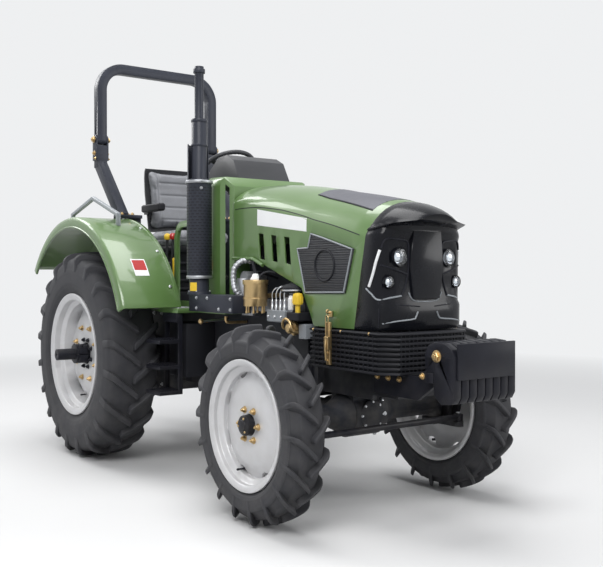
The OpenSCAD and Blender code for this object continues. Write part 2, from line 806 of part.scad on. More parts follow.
// Fuel tank on the left, battery box on the right
module side_tanks() {
    color("#222327") union() {
        box([-480, -160], [170, 400], [600, 960]);
        box([-420, -160], [-400, -170], [600, 940]);
    }
}

module drawbar() {
    color("#2b2d33") difference() {
        union() {
            box([-1800, -1150], [-38, 38], [396, 432]);
            box([-1340, -1290], [-60, 60], [384, 440]);
        }
        rod_z(drawbar_bore / 2, -1760, 0, [380, 450]);
    }
}

module tail_lamps() {
    a = fender_a1 - 8;
    x = rear_x + fender_r * cos(a);
    z = rear_z + fender_r * sin(a);
    color("firebrick") both() difference() {
        box([x - 45, x + 10], [fender_out - 220, fender_out - 60], [z - 40, z + 60]);
        rod_y(fender_r, rear_x, [0, 1000], rear_z);
    }
}

// Pedals under the cowl and levers beside the seat
module controls() {
    lever_y = -seat_w / 2 - lever_gap;
    color("#202124") difference() {
        union() {
            for (y = [-250, -160, 190]) {
                rod([-60, y, floor_z - 10], [-130, y, 1220], 9);
                bar([-150, y, 1215], [-110, y, 1240], 70, 14);
            }
            for (x = [-700, -620]) {
                rod([x, lever_y, floor_z - 10], [x + 40, lever_y, 1500], 9);
                translate([x + 40, lever_y, 1510]) sphere(22);
            }
        }
        box([-900, 100], [-400, 400], [deck_z - 50, floor_z]);
    }
}

// Hood lines along X: share of the length, crown, crease, lower edge and set-in of the sides
function hood_u(x) = (x - hood_x0) / (nose_x - hood_x0);
function hood_end(x) = 1 - sqrt(1 - pow(max(0, 1 - (x - hood_x0) / hood_round), 2));
function hood_crown(x) = 1796 - 175 * pow(hood_u(x), 1.9) - 26 * hood_end(x);
function hood_crease(x) = 1692 - 242 * pow(hood_u(x), 1.5) - 8 * hood_end(x);
function hood_inset(x) = 20 * hood_u(x) + 14 * hood_end(x);
function hood_edge(x) =
    lookup(x, [[hood_x0, 1352], [hood_x0 + 230, 1350], [hood_x0 + 275, 1334], [nose_x - 440, 1180],
        [nose_x - 365, 1050], [nose_x - flap, hood_low], [nose_x, hood_low]]);

hood_round = 40;
flap = 330;
hood_xs = concat(
    [for (d = [0, 14]) hood_x0 + d],
    [for (k = [0:8]) hood_x0 + hood_round + k / 8 * (nose_x - 440 - hood_x0 - hood_round)],
    [nose_x - 365],
    [for (k = [0:4]) nose_x - flap * (1 - k / 4)]);

// Half outline of the station at x, set in by t: flat side, crease, then a curved shoulder
function hood_half(x, t) =
    let (w = hood_w / 2 - hood_inset(x) - t, c = hood_crease(x) - t / 2, top = hood_crown(x) - t, e = hood_edge(x),
        d = top - c,
        bend = function(u, a, b, c0, c1) pow(1 - u, 3) * a + 3 * u * pow(1 - u, 2) * b + 3 * u * u * (1 - u) * c0
            + pow(u, 3) * c1)
    concat(
        [[w - 4, e], [w - 1, e + 0.35 * (c - e)], [w, e + 0.75 * (c - e)], [w - 1, c - 16], [w - 6, c]],
        [for (k = [1:8]) [bend(k / 8, w - 6, w * 0.84 - 6, w * 0.48, 0), bend(k / 8, c, c + 0.66 * d, top, top)]]);

// The front end leans forward towards the top
function lean(x, z) = x + max(0, (x - nose_x + flap) / flap) * (z - hood_low) * 0.2;

function hood_ring(x, t) =
    let (h = hood_half(x, t), n = len(h))
    concat(
        [for (i = [0:n - 1]) [lean(x, h[i][1]), -h[i][0], h[i][1]]],
        [for (i = [n - 2:-1:0]) [lean(x, h[i][1]), h[i][0], h[i][1]]]);

// Side grille outline in X and Z
grille_pts = [
    [nose_x - 351, 1473], [nose_x - 245, 1448], [nose_x + 8, 1381], [nose_x - 62, 1157], [nose_x - 402, 1150],
    [nose_x - 478, 1394], [nose_x - 378, 1396]];

module hood_shell() {
    outer = [for (x = hood_xs) hood_ring(x, 0)];
    inner = [for (x = hood_xs) hood_ring(x, hood_t)];
    slot = [[0, 0], [50, -6], [62, -156], [12, -148]];
    color("#4d7a3c") difference() {
        union() {
            skin(outer, inner);
            both() box([hood_hinge[0] - 20, hood_hinge[0] + 20], [150, 170], [hood_hinge[1] - 20, hood_hinge[1] + 28]);
        }
        for (i = [0:hood_slots - 1]) {
            x = hood_x0 + 295 + i * 127;
            side_plate([for (p = slot) [x + p[0], 1490 - 14 * i + p[1]]], [-400, 400]);
        }
        side_plate(grille_pts, [-400, 400]);
        rod_y(hood_pin_r + run, hood_hinge[0], [-200, 200], hood_hinge[1]);
    }
}

// Front mask: width and reach along Z, then corners and face
function mask_w(z) =
    let (h = hood_w / 2)
    lookup(z, [[hood_low, h - 24], [1240, h - 20], [1446, h - 20], [1474, h - 34], [1500, h - 50]]);
function mask_out(z) =
    lookup(z, [[hood_low, 4], [1000, 14], [1100, 14], [1124, 0], [1424, 0], [1460, 12], [1500, 14]]);

function mask_row(z, t) =
    let (w = mask_w(z) - t, f = front_x - t + mask_out(z),
        half = [[lean(nose_x, z), w], [front_x + 440 - t, w], [f + 472, w - 5], [f + 494, w - 20], [f + 506, w - 48],
            [f + 516, w * 0.66], [f + 524, w * 0.36], [f + 527, 0]],
        n = len(half))
    concat(
        [for (i = [0:n - 1]) [half[i][0], half[i][1], z]],
        [for (i = [n - 2:-1:0]) [half[i][0], -half[i][1], z]]);

// Brow section: reach f, drop dz, width factor k and underside zb
function brow_ring(f, dz, k, zb) =
    let (h = hood_half(nose_x, 0), n = len(h), w0 = h[4][0],
        spot = function(y, z) [lean(nose_x, z - dz) + f * (1 - 0.3 * pow(y / w0, 2)), y, z],
        up = [for (i = [4:n - 1]) [h[i][0] * k, max(h[i][1] + dz, zb + 8 + 0.1 * (w0 - h[i][0]))]],
        foot = [lean(nose_x, zb) + f * 0.7, w0 * k, zb])
    concat(
        [foot, [foot[0], -foot[1], foot[2]]],
        [for (p = up) spot(-p[0], p[1])],
        [for (i = [len(up) - 2:-1:0]) spot(up[i][0], up[i][1])]);

// Raised centre panel between the lamps, as Y and Z
panel_pts = [[-92, 1466], [92, 1466], [108, 1296], [84, 1134], [-84, 1134], [-108, 1296]];

lamps = [[165, 1338, 48], [226, 1217, 32]];

module hood_mask() {
    rows = [hood_low, 1000, 1100, 1124, 1240, 1340, 1424, 1446, 1460, 1474, 1500];
    color("#141518") difference() {
        union() {
            skin([for (z = rows) mask_row(z, 0)], [for (z = rows) mask_row(z, 12)]);
            loft([brow_ring(0, 0, 1, 1468), brow_ring(60, -12, 0.99, 1474), brow_ring(120, -32, 0.955, 1482),
                brow_ring(170, -54, 0.89, 1490), brow_ring(200, -74, 0.8, 1496)], true);
            translate([front_x + 500, 0, 0]) rotate([90, 0, 90]) linear_extrude(40) polygon(panel_pts);
        }
        both() for (l = lamps) rod_x(l[2], [front_x + 400, front_x + 600], l[0], l[1]);
    }
}

module headlamps() {
    color("#d8e2ea") both() for (l = lamps) {
        rod_x(l[2], [front_x + 450, front_x + 522 - 10 * (l[0] - 165) / 60], l[0], l[1]);
    }
}

module side_grilles() {
    color("#1a1b1e") both() side_plate(grille_pts, [hood_w / 2 - 27, hood_w / 2 - 12]);
}

// Draw latches on the guard's sides
module hood_latches() {
    color("#b08a3c") both() {
        box([nose_x - 185, nose_x - 155], [298, 310], [support_top + 20, hood_low + 30]);
    }
}

// Hitch: cross shaft with its lift arms
module rockshaft() {
    end = rock_at + hitch_arm;
    color("#2b2d33") both() union() {
        rod_y(rock_r, rock_at[0], [0, arm_y + 15], rock_at[1]);
        rod_y(48, rock_at[0], [arm_y - 17, arm_y + 17], rock_at[1]);
        bar([rock_at[0], arm_y, rock_at[1]], [end[0], arm_y, end[1]], 30, 62);
        rod_y(30, end[0], [arm_y - 15, arm_y + 15], end[1]);
        rod_y(lift_pin_r, end[0], [arm_y, rod_y0 + 24], end[1]);
    }
}

module lift_rods() {
    top = rock_at + hitch_arm;
    low = link_at + hitch_arm;
    y = rod_y0;
    color("#3a3c42") both() difference() {
        union() {
            rod([top[0], y, top[1]], [low[0], y, low[1]], 15);
            for (p = [top, low]) rod_y(30, p[0], [y - 17, y + 17], p[1]);
        }
        for (p = [top, low]) rod_y(lift_pin_r + run, p[0], [y - 40, y + 40], p[1]);
    }
}

module lower_links() {
    low = link_at + hitch_arm;
    y0 = house_w + 30;
    ball = [[ball_r, 12], [ball_r - 5, 22], [ball_bore / 2 + 4, ball_w / 2], [0, ball_w / 2]];
    color("#2b2d33") difference() {
        both() union() {
            rod_y(38, link_at[0], [house_w, house_w + 54], link_at[1]);
            bar([link_at[0], y0, link_at[1]], [link_ball[0] + 20, ball_y - 4, link_ball[1] + 2], 26, 60);
            rod_y(lift_pin_r, low[0], [arm_y - 5, rod_y0 + 24], low[1]);
            translate([link_ball[0], ball_y, link_ball[1]]) rotate([0, 180, 0]) turned(concat(flip(ball), ball));
        }
        rod_y(link_pin_r + run, link_at[0], [-300, 300], link_at[1]);
        rod_y(ball_bore / 2, link_ball[0], [-ball_y - 60, ball_y + 60], link_ball[1]);
        box([link_at[0] - 60, link_at[0] + 60], [-house_w - gap, house_w + gap], [300, 600]);
    }
}

module pto_shaft() {
    color("#9a9ca2") union() {
        rod_x(pto_r, [-1485, -1400], 0, pto_z);
        rod_x(pto_r - 2, [-1401, -1385], 0, pto_z);
        rod_x(pto_r + 5, [-1388, -1300], 0, pto_z);
    }
}

transmission();
axle_trumpets();
engine_block();
engine_fittings();
fuel_filter();
front_support();
front_axle();
lower_guard();
weight_bracket();
front_weights();
front_plate();
cowl();
dash();
platform();
steps();
fender_right();
fender_left();
fender_rails();
seat_base();
seat_cushion();
seat_back();
rops_posts();
exhaust();
exhaust_shield();
side_tanks();
drawbar();
tail_lamps();
controls();
hood_shell();
hood_mask();
headlamps();
side_grilles();
hood_latches();
knuckle_right();
knuckle_left();
tie_rod();
front_tyre_right();
front_tyre_left();
front_rim_right();
front_rim_left();
front_hub_right();
front_hub_left();
rear_tyre_right();
rear_tyre_left();
rear_rim_right();
rear_rim_left();
rear_hub_right();
rear_hub_left();
rops_hoop();
steering_wheel();
rockshaft();
lift_rods();
lower_links();
pto_shaft();
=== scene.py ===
"""Looks of the farm tractor: finishes for every solid, and the shapes that are too fine for the solids."""
import math

import bmesh
import bpy
import numpy as np
from mathutils import Matrix, Vector


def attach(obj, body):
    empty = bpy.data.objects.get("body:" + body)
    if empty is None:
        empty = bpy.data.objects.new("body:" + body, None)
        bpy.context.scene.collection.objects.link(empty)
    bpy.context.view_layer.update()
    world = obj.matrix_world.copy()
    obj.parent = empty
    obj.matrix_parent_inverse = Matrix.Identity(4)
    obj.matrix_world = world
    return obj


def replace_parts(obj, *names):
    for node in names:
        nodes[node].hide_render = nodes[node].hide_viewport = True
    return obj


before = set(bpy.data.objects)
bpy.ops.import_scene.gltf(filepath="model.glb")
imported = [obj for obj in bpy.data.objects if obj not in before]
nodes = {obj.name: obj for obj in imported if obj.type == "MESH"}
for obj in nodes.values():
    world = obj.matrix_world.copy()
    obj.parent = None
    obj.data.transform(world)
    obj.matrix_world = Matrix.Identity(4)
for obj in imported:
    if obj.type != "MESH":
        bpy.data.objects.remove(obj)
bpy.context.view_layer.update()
scene = bpy.context.scene

# Places in metres, as in the part's source
REAR = Vector((-1.050, 0.645, 0.705))
FRONT = Vector((1.055, 0.648, 0.502))
NOSE_X = FRONT.x + 0.305
HOOD_X0 = 0.215
HOOD_W = 0.600
HOOD_LOW = 0.980
FLAP = 0.330
ROUND = 0.040
STACK = Vector((0.040, -0.420, 0.0))
FLOOR = 1.040
FENDER_R = 0.940
SEAT_X = -1.115

# Directions, and the two sides with the sign of their Y
AHEAD, BACKWARD, UPWARD, RIGHT = (1, 0, 0), (-1, 0, 0), (0, 0, 1), (0, -1, 0)
SIDES = (("right", -1), ("left", 1))

# Settings that materials and edges share: middle of a noise, edge measure, gloss of clear coats, bevels
MID = (0.3, 0.7)
EDGE = (0.53, 0.60)
COAT_ROUGH = 0.06
BEVEL_ANGLE = math.radians(34)
PALE = (0.86, 0.87, 0.88, 1)


# Node helpers for materials
def add(tree, kind, values=None, **props):
    n = tree.nodes.new("ShaderNode" + kind)
    for k, v in props.items():
        setattr(n, k, v)
    for k, v in (values or {}).items():
        n.inputs[k].default_value = v
    return n


def material(name, values=None):
    m = bpy.data.materials.new(name)
    m.use_nodes = True
    tree = m.node_tree
    tree.nodes.clear()
    out = add(tree, "OutputMaterial")
    bsdf = add(tree, "BsdfPrincipled", values)
    tree.links.new(bsdf.outputs["BSDF"], out.inputs["Surface"])
    return m, tree, bsdf


def coords(tree):
    return add(tree, "TexCoord").outputs["Object"]


def noise(tree, vector, scale, detail=4.0):
    n = add(tree, "TexNoise", {"Scale": scale, "Detail": detail, "Roughness": 0.55})
    tree.links.new(vector, n.inputs["Vector"])
    return n.outputs["Fac"]


def mapped(tree, value, lo, hi, to_lo=0.0, to_hi=1.0):
    n = add(tree, "MapRange", {"From Min": lo, "From Max": hi, "To Min": to_lo, "To Max": to_hi})
    tree.links.new(value, n.inputs["Value"])
    return n.outputs["Result"]


def combined(tree, operation, a, b):
    n = add(tree, "Math", operation=operation)
    tree.links.new(a, n.inputs[0])
    tree.links.new(b, n.inputs[1])
    return n.outputs[0]


def mixed(tree, fac, a, b):
    n = add(tree, "Mix", data_type="RGBA")
    tree.links.new(fac, n.inputs["Factor"])
    for socket, v in ((6, a), (7, b)):
        if isinstance(v, tuple):
            n.inputs[socket].default_value = (*v, 1)
        else:
            tree.links.new(v, n.inputs[socket])
    return n.outputs[2]


def blended(tree, fac, a, b):
    """Two shaders by a factor."""
    n = add(tree, "MixShader")
    for socket, v in enumerate((fac, a, b)):
        tree.links.new(v, n.inputs[socket])
    return n.outputs[0]


def bumped(tree, bsdf, height, strength, distance):
    n = add(tree, "Bump", {"Strength": strength, "Distance": distance})
    tree.links.new(height, n.inputs["Height"])
    tree.links.new(n.outputs["Normal"], bsdf.inputs["Normal"])


def shade(c, k):
    return tuple(min(1.0, v * k) for v in c)


def finish(name, color, rough=0.4, metal=0.0, spread=0.08, patch=6.0, grain=220.0, bump=0.05, depth=0.0006,
           coat=0.0, dust=0.0, dust_top=0.9, dust_color=(0.30, 0.27, 0.22), worn=0.0, specular=0.5):
    """Surface with broad colour patches, fine grain, uneven gloss, and dust that thins upwards."""
    m, tree, bsdf = material(name, {"Metallic": metal, "Specular IOR Level": specular})
    v = coords(tree)
    broad = noise(tree, v, patch)
    fine = noise(tree, v, grain, 2.0)
    col = mixed(tree, mapped(tree, broad, *MID), shade(color, 1 - spread), shade(color, 1 + spread))
    if worn:
        edge = mapped(tree, add(tree, "NewGeometry").outputs["Pointiness"], *EDGE, 0.0, worn)
        col = mixed(tree, edge, col, shade(color, 1.9))
    if dust:
        place = add(tree, "SeparateXYZ")
        tree.links.new(v, place.inputs["Vector"])
        low = mapped(tree, place.outputs["Z"], 0.0, dust_top, dust, 0.0)
        spots = mapped(tree, noise(tree, v, 14.0, 6.0), 0.35, 0.7)
        col = mixed(tree, combined(tree, "MULTIPLY", low, spots), col, dust_color)
    tree.links.new(col, bsdf.inputs["Base Color"])
    gloss = mapped(tree, broad, 0.25, 0.75, rough * 0.86, min(1.0, rough * 1.16))
    tree.links.new(gloss, bsdf.inputs["Roughness"])
    if coat:
        bsdf.inputs["Coat Weight"].default_value = coat
        bsdf.inputs["Coat Roughness"].default_value = COAT_ROUGH
    bumped(tree, bsdf, fine, bump, depth)
    return m


GREEN = finish("green_enamel", (0.090, 0.168, 0.050), rough=0.34, spread=0.05, patch=3.0, grain=420,
               bump=0.04, depth=0.0004, coat=0.55)
CASTING = finish("dark_casting", (0.018, 0.0195, 0.025), rough=0.55, specular=0.25, spread=0.25, grain=160,
                 bump=0.25, depth=0.001, dust=0.25, dust_top=1.0)
BLACK_STEEL = finish("black_steel", (0.010, 0.0105, 0.015), rough=0.42, specular=0.16, spread=0.2, grain=260,
                     bump=0.10, worn=0.25, dust=0.12)
CHARCOAL = finish("charcoal_coat", (0.030, 0.033, 0.044), rough=0.38, specular=0.2, spread=0.12, grain=320,
                  bump=0.10, worn=0.15)
GLOSS_BLACK = finish("gloss_black", (0.005, 0.0055, 0.008), rough=0.26, specular=0.14, spread=0.2, grain=60,
                     bump=0.015, coat=0.10)
MATT_BLACK = finish("matt_black", (0.011, 0.0115, 0.015), rough=0.6, specular=0.25, spread=0.2, grain=500,
                    bump=0.2)
SILVER = finish("silver_enamel", (0.56, 0.56, 0.57), rough=0.38, metal=0.25, spread=0.05, grain=380,
                bump=0.06, dust=0.25, worn=0.15)
RUBBER = finish("tyre_rubber", (0.024, 0.0245, 0.029), rough=0.72, spread=0.22, patch=9, grain=170, bump=0.35,
                depth=0.0008, dust=0.16, dust_top=1.3, dust_color=(0.16, 0.15, 0.14), worn=0.12)
VINYL = finish("grey_vinyl", (0.17, 0.175, 0.19), rough=0.55, spread=0.12, patch=9, grain=520, bump=0.4,
               depth=0.0009)
PLASTIC = finish("dark_plastic", (0.026, 0.027, 0.031), rough=0.5, spread=0.15, grain=700, bump=0.25)
GREY_PAINT = finish("grey_enamel", (0.25, 0.27, 0.29), grain=320, bump=0.06)
ALLOY = finish("cast_alloy", (0.36, 0.37, 0.39), rough=0.45, metal=0.8, spread=0.15, grain=180, bump=0.25)
GOLD = finish("gold_plate", (0.50, 0.36, 0.18), rough=0.34, metal=0.9, spread=0.15, patch=18, grain=260,
              bump=0.08)
STEEL = finish("bare_steel", (0.50, 0.51, 0.53), rough=0.32, metal=1.0, spread=0.1, grain=300, bump=0.08)
RED = finish("red_lens", (0.42, 0.015, 0.012), rough=0.15, spread=0.1, grain=90, coat=0.6)
AMBER = finish("amber_lens", (0.75, 0.26, 0.02), rough=0.15, spread=0.1, grain=90, coat=0.6)
WHITE = finish("white_decal", (0.78, 0.79, 0.80), rough=0.35, spread=0.03, grain=200, bump=0.02)
YELLOW = finish("yellow_cap", (0.75, 0.50, 0.03), grain=200, bump=0.03)


def lens_glass():
    """Bright ribbed glass behind the lamp covers."""
    m, tree, bsdf = material("lamp_glass", {"Metallic": 0.6, "Coat Weight": 1.0, "Coat Roughness": 0.03})
    v = coords(tree)
    ribs = add(tree, "TexWave", {"Scale": 90.0, "Distortion": 0.3})
    tree.links.new(v, ribs.inputs["Vector"])
    col = mixed(tree, mapped(tree, noise(tree, v, 40.0), *MID), (0.82, 0.86, 0.9), (0.93, 0.95, 0.97))
    tree.links.new(col, bsdf.inputs["Base Color"])
    tree.links.new(mapped(tree, noise(tree, v, 60.0), 0.2, 0.8, 0.05, 0.12), bsdf.inputs["Roughness"])
    bumped(tree, bsdf, ribs.outputs["Fac"], 0.35, 0.002)
    return m


def clear_cover():
    """Clear lamp cover, a little rough by patches."""
    clear = {"Base Color": (0.94, 0.96, 0.98, 1), "Transmission Weight": 0.96, "IOR": 1.25}
    m, tree, bsdf = material("clear_cover", clear)
    grain = noise(tree, coords(tree), 60.0)
    tree.links.new(mapped(tree, grain, *MID, 0.02, 0.08), bsdf.inputs["Roughness"])
    return m


def mesh_black():
    """Black sheet with a fine square mesh pressed in it; the pressed squares are painted darker than the
    bars, as painted shade in the recesses.
    """
    m, tree, bsdf = material("mesh_black")
    v = coords(tree)
    waves = []
    for axis in ("X", "Z"):
        w = add(tree, "TexWave", {"Scale": 40.0}, bands_direction=axis)
        tree.links.new(v, w.inputs["Vector"])
        waves.append(w.outputs["Fac"])
    both = combined(tree, "MULTIPLY", *waves)
    # Painted shade: the pressed squares get a darker colour than the bars between them
    col = mixed(tree, mapped(tree, both, 0.2, 0.6), (0.034, 0.036, 0.042), (0.006, 0.006, 0.007))
    tree.links.new(col, bsdf.inputs["Base Color"])
    tree.links.new(mapped(tree, noise(tree, v, 20.0), *MID, 0.45, 0.6), bsdf.inputs["Roughness"])
    bumped(tree, bsdf, both, 0.7, -0.002)
    return m


LENS = lens_glass()
MESH = mesh_black()
INSERT = finish("insert_panel", (0.060, 0.062, 0.078), rough=0.45, spread=0.12, grain=500, bump=0.15)
CHROME = finish("lamp_bowl", (0.27, 0.28, 0.30), rough=0.18, metal=1.0, spread=0.05, grain=120, bump=0.03)
CLEAR = clear_cover()

# Finish of each solid that shows as it is, and edges that differ from the usual bevel
NODE_FINISH = {
    CASTING: ["transmission", "axle_trumpets", "engine_block", "front_support", "front_axle", "knuckle_right",
              "knuckle_left", "rockshaft", "lower_links", "drawbar"],
    BLACK_STEEL: ["weight_bracket", "steps", "front_plate", "front_weights", "tie_rod", "lift_rods",
                  "front_hub_right", "front_hub_left", "rear_hub_right", "rear_hub_left"],
    CHARCOAL: ["rops_posts", "rops_hoop", "exhaust", "exhaust_shield"],
    GREEN: ["cowl", "fender_right", "fender_left", "hood_shell", "platform"],
    GLOSS_BLACK: ["hood_mask"],
    MATT_BLACK: ["lower_guard", "seat_base", "side_tanks"],
    MESH: ["side_grilles"],
    PLASTIC: ["dash", "controls", "steering_wheel"],
    SILVER: ["front_rim_right", "front_rim_left", "rear_rim_right", "rear_rim_left"],
    VINYL: ["seat_cushion", "seat_back"],
    GREY_PAINT: ["fender_rails"],
    ALLOY: ["engine_fittings"],
    GOLD: ["fuel_filter", "hood_latches"],
    STEEL: ["pto_shaft"],
    RED: ["tail_lamps"],
    LENS: ["headlamps"],
}
BEVEL = {"front_weights": 0.004, "lower_guard": 0.0015, "side_grilles": 0.001, "hood_shell": 0.0015}


def soft_edges(obj, width):
    edge = obj.modifiers.new("edge", "BEVEL")
    edge.width = width
    edge.segments = 2
    edge.limit_method = "ANGLE"
    edge.angle_limit = BEVEL_ANGLE
    return edge


def dress(obj, mat, bevel):
    """Material, rounded edges and smooth shading on a solid whose shape stays."""
    obj.data.materials.clear()
    obj.data.materials.append(mat)
    weld = obj.modifiers.new("weld", "WELD")
    weld.merge_threshold = 0.00002
    soft_edges(obj, bevel).harden_normals = True
    obj.data.shade_smooth()


for mat, names in NODE_FINISH.items():
    for name in names:
        dress(nodes[name], mat, BEVEL.get(name, 0.003))


# Mesh helpers: points and faces of simple forms
def mm(points):
    """Points that are written in millimetres."""
    return [tuple(v / 1000 for v in p) for p in points]


def turn_to(direction):
    """Matrix that turns +Z to the direction."""
    return Vector(UPWARD).rotation_difference(Vector(direction).normalized()).to_matrix().to_4x4()


def moved(points, at, direction):
    m = Matrix.Translation(Vector(at)) @ turn_to(direction)
    return [m @ Vector(p) for p in points]


def circle(r, n, start=0.0):
    """Cosine and sine parts of n places on a circle, from a start in degrees."""
    turns = [math.radians(start + 360 * k / n) for k in range(n)]
    return [(r * math.cos(a), r * math.sin(a)) for a in turns]


def edges(points):
    """Pairs of neighbours along a closed outline."""
    return list(zip(points, points[1:] + points[:1]))


def ring_faces(rows, n, closed_rows=False):
    """Quads between rows of n points each, closed around."""
    last = rows if closed_rows else rows - 1
    return [(k * n + i, k * n + (i + 1) % n, ((k + 1) % rows) * n + (i + 1) % n, ((k + 1) % rows) * n + i)
            for k in range(last) for i in range(n)]


def capped(rows, n):
    """Quads between rows of n points each, and a face over each end."""
    return ring_faces(rows, n) + [tuple(range(n - 1, -1, -1)), tuple(range((rows - 1) * n, rows * n))]


def smooth_line(points, steps):
    """Points on a curve through the given points."""
    p = np.array([tuple(q) for q in points], float)
    n = len(p)
    out = []
    for i in range(n - 1):
        q = [p[min(max(i + k, 0), n - 1)] for k in (-1, 0, 1, 2)]
        for t in np.arange(steps) / steps:
            out.append(0.5 * (2 * q[1] + (q[2] - q[0]) * t + (2 * q[0] - 5 * q[1] + 4 * q[2] - q[3]) * t ** 2
                              + (3 * q[1] - q[0] - 3 * q[2] + q[3]) * t ** 3))
    return np.array(out + [p[-1]])


def tube(line, radius, n, closed=False):
    """Round tube along a line of points; radius may be one value for each point."""
    line = np.asarray(line, float)
    m = len(line)
    radii = np.broadcast_to(radius, (m,))
    ahead = np.roll(line, -1, 0) - np.roll(line, 1, 0) if closed else np.gradient(line, axis=0)
    ahead /= np.linalg.norm(ahead, axis=1)[:, None]
    side = np.cross(ahead[0], (0.31, 0.17, 0.94))
    side /= np.linalg.norm(side)
    points = []
    for k in range(m):
        side = side - ahead[k] * side.dot(ahead[k])
        side /= np.linalg.norm(side)
        up = np.cross(ahead[k], side)
        for a in np.arange(n) * 2 * math.pi / n:
            points.append(line[k] + radii[k] * (math.cos(a) * side + math.sin(a) * up))
    return points, ring_faces(m, n, True) if closed else capped(m, n)


def slab(outline, lo, hi, axes="xz"):
    """Flat plate from an outline in two axes, between two values of the third."""
    order = [axes.find(c) if c in axes else 2 for c in "xyz"]
    points = [tuple((p[0], p[1], h)[k] for k in order) for h in sorted((lo, hi)) for p in outline]
    return points, capped(2, len(outline))


def rounded(lo, hi, r, steps):
    """Block with rounded upright edges and a chamfer at its top and bottom."""
    (x0, x1), (y0, y1), (z0, z1) = (sorted(pair) for pair in zip(lo, hi))
    corners = ((x1 - r, y1 - r, 0), (x0 + r, y1 - r, 90), (x0 + r, y0 + r, 180), (x1 - r, y0 + r, 270))
    points = []
    for z, d in ((z0, r * 0.5), (z0 + r * 0.5, 0.0), (z1 - r * 0.5, 0.0), (z1, r * 0.5)):
        for cx, cy, start in corners:
            for k in range(steps + 1):
                a = math.radians(start + 90 * k / steps)
                points.append((cx + (r - d) * math.cos(a), cy + (r - d) * math.sin(a), z))
    return points, capped(4, 4 * (steps + 1))


def placed(name, data):
    obj = bpy.data.objects.new(name, data)
    scene.collection.objects.link(obj)
    return obj


class Shape:
    """Points and faces of one piece, gathered form by form, each with its material's slot."""

    def __init__(self):
        self.points, self.faces, self.slots = [], [], []

    def put(self, points, faces, slot=0):
        n = len(self.points)
        self.points.extend(tuple(map(float, p)) for p in points)
        self.faces.extend(tuple(n + i for i in f) for f in faces)
        self.slots.extend([slot] * len(faces))
        return self

    def pipe(self, line, radius, n, slot=0, curve=0, closed=False):
        """Tube along the points, or on a curve through them with so many steps between two of them."""
        self.put(*tube(smooth_line(line, curve) if curve else line, radius, n, closed), slot)

    def turn(self, profile, at, direction=UPWARD, n=32, slot=0, ring=False):
        """Turned form from pairs of radius and height, with flat ends; a ring has a closed section."""
        a = np.arange(n) * 2 * math.pi / n
        points = [(r * c, r * s, z) for r, z in profile for c, s in zip(np.cos(a), np.sin(a))]
        rows = len(profile)
        self.put(moved(points, at, direction), ring_faces(rows, n, True) if ring else capped(rows, n), slot)

    def bolt(self, at, direction, r, h, washer=True, slot=0, stud=0.006):
        """Hexagon head with a chamfer, a washer under it and a stud end."""
        if washer:
            self.turn([(r * 1.35, -0.001), (r * 1.35, 0.0022), (r * 1.2, 0.003)], at, direction, 20, slot)
        foot = 0.002
        top = foot + h
        self.turn([(r, foot), (r, foot + h * 0.8), (r * 0.86, top)], at, direction, 6, slot)
        if stud:
            end = [(r * 0.52, foot), (r * 0.52, top + stud * 0.7), (r * 0.4, top + stud)]
            self.turn(end, at, direction, 12, slot)

    def box(self, lo, hi, r, slot=0, steps=4):
        self.put(*rounded(lo, hi, r, steps), slot)

    def patch(self, place, rows, cols, thick, slot=0):
        """Thin sheet on a curved surface: place(i, j, lift) gives a point for shares i and j."""
        grid = [(i / rows, j / cols) for i in range(rows + 1) for j in range(cols + 1)]
        n, m = cols + 1, len(grid)
        faces = [(i * n + j, i * n + j + 1, (i + 1) * n + j + 1, (i + 1) * n + j)
                 for i in range(rows) for j in range(cols)]
        rim = (list(range(cols)) + [i * n + cols for i in range(rows)]
               + [rows * n + cols - j for j in range(cols)] + [(rows - i) * n for i in range(rows)])
        faces += [(a, b, m + b, m + a) for a, b in edges(rim)]
        self.put([place(i, j, lift) for lift in (thick, -0.002) for i, j in grid], faces, slot)

    def make(self, name, mats, body, slot, sharp=35, bevel=0.0):
        """Object of the piece, which rides its body; edges over the angle sharp stay hard."""
        mesh = bpy.data.meshes.new(name)
        mesh.from_pydata(self.points, [], self.faces)
        for m in mats:
            mesh.materials.append(m)
        mesh.polygons.foreach_set("material_index", self.slots)
        bm = bmesh.new()
        bm.from_mesh(mesh)
        bmesh.ops.remove_doubles(bm, verts=bm.verts, dist=0.00002)
        bmesh.ops.recalc_face_normals(bm, faces=bm.faces)
        bm.to_mesh(mesh)
        bm.free()
        mesh.shade_smooth()
        mesh.set_sharp_from_angle(angle=math.radians(sharp))
        obj = placed(name, mesh)
        if bevel:
            soft_edges(obj, bevel)
        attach(obj, body)
        return obj


# Tyres: smooth carcass with side ribs, and lugs with rounded edges
LUG_H = 0.034
LUG_ROUND = 0.007
CARCASS_STEPS = 160


def carcass(base, half, seat, flange, bead):
    """Closed tyre body about Y: profile of one side as radius and Y, mirrored and turned."""
    depth = base - seat
    wall = [(flange + 0.001, bead), (seat + 0.32 * depth, half - 0.004), (seat + 0.50 * depth, half),
            (seat + 0.70 * depth, half - 0.004), (base - 0.042, half - 0.014), (base - 0.016, half - 0.036),
            (base - 0.004, half * 0.55), (base, half * 0.2), (base, -half * 0.2)]
    curve = smooth_line(wall, 7)[:-7]
    ribs = ((0.27, 0.0030, 0.006), (0.36, 0.0016, 0.004), (0.62, 0.0016, 0.005), (0.67, 0.0014, 0.004))
    for at, size, spread in ribs:
        curve[:, 1] += size * np.exp(-((curve[:, 0] - seat - at * depth) / spread) ** 2)
    side = np.vstack([[(seat, bead)], curve])
    profile = np.vstack([side, (side * (1, -1))[::-1]])
    turns = np.arange(CARCASS_STEPS) * 2 * math.pi / CARCASS_STEPS
    points = [(q[0] * math.sin(t), q[1], q[0] * math.cos(t)) for q in profile for t in turns]
    return points, ring_faces(len(profile), CARCASS_STEPS, True)


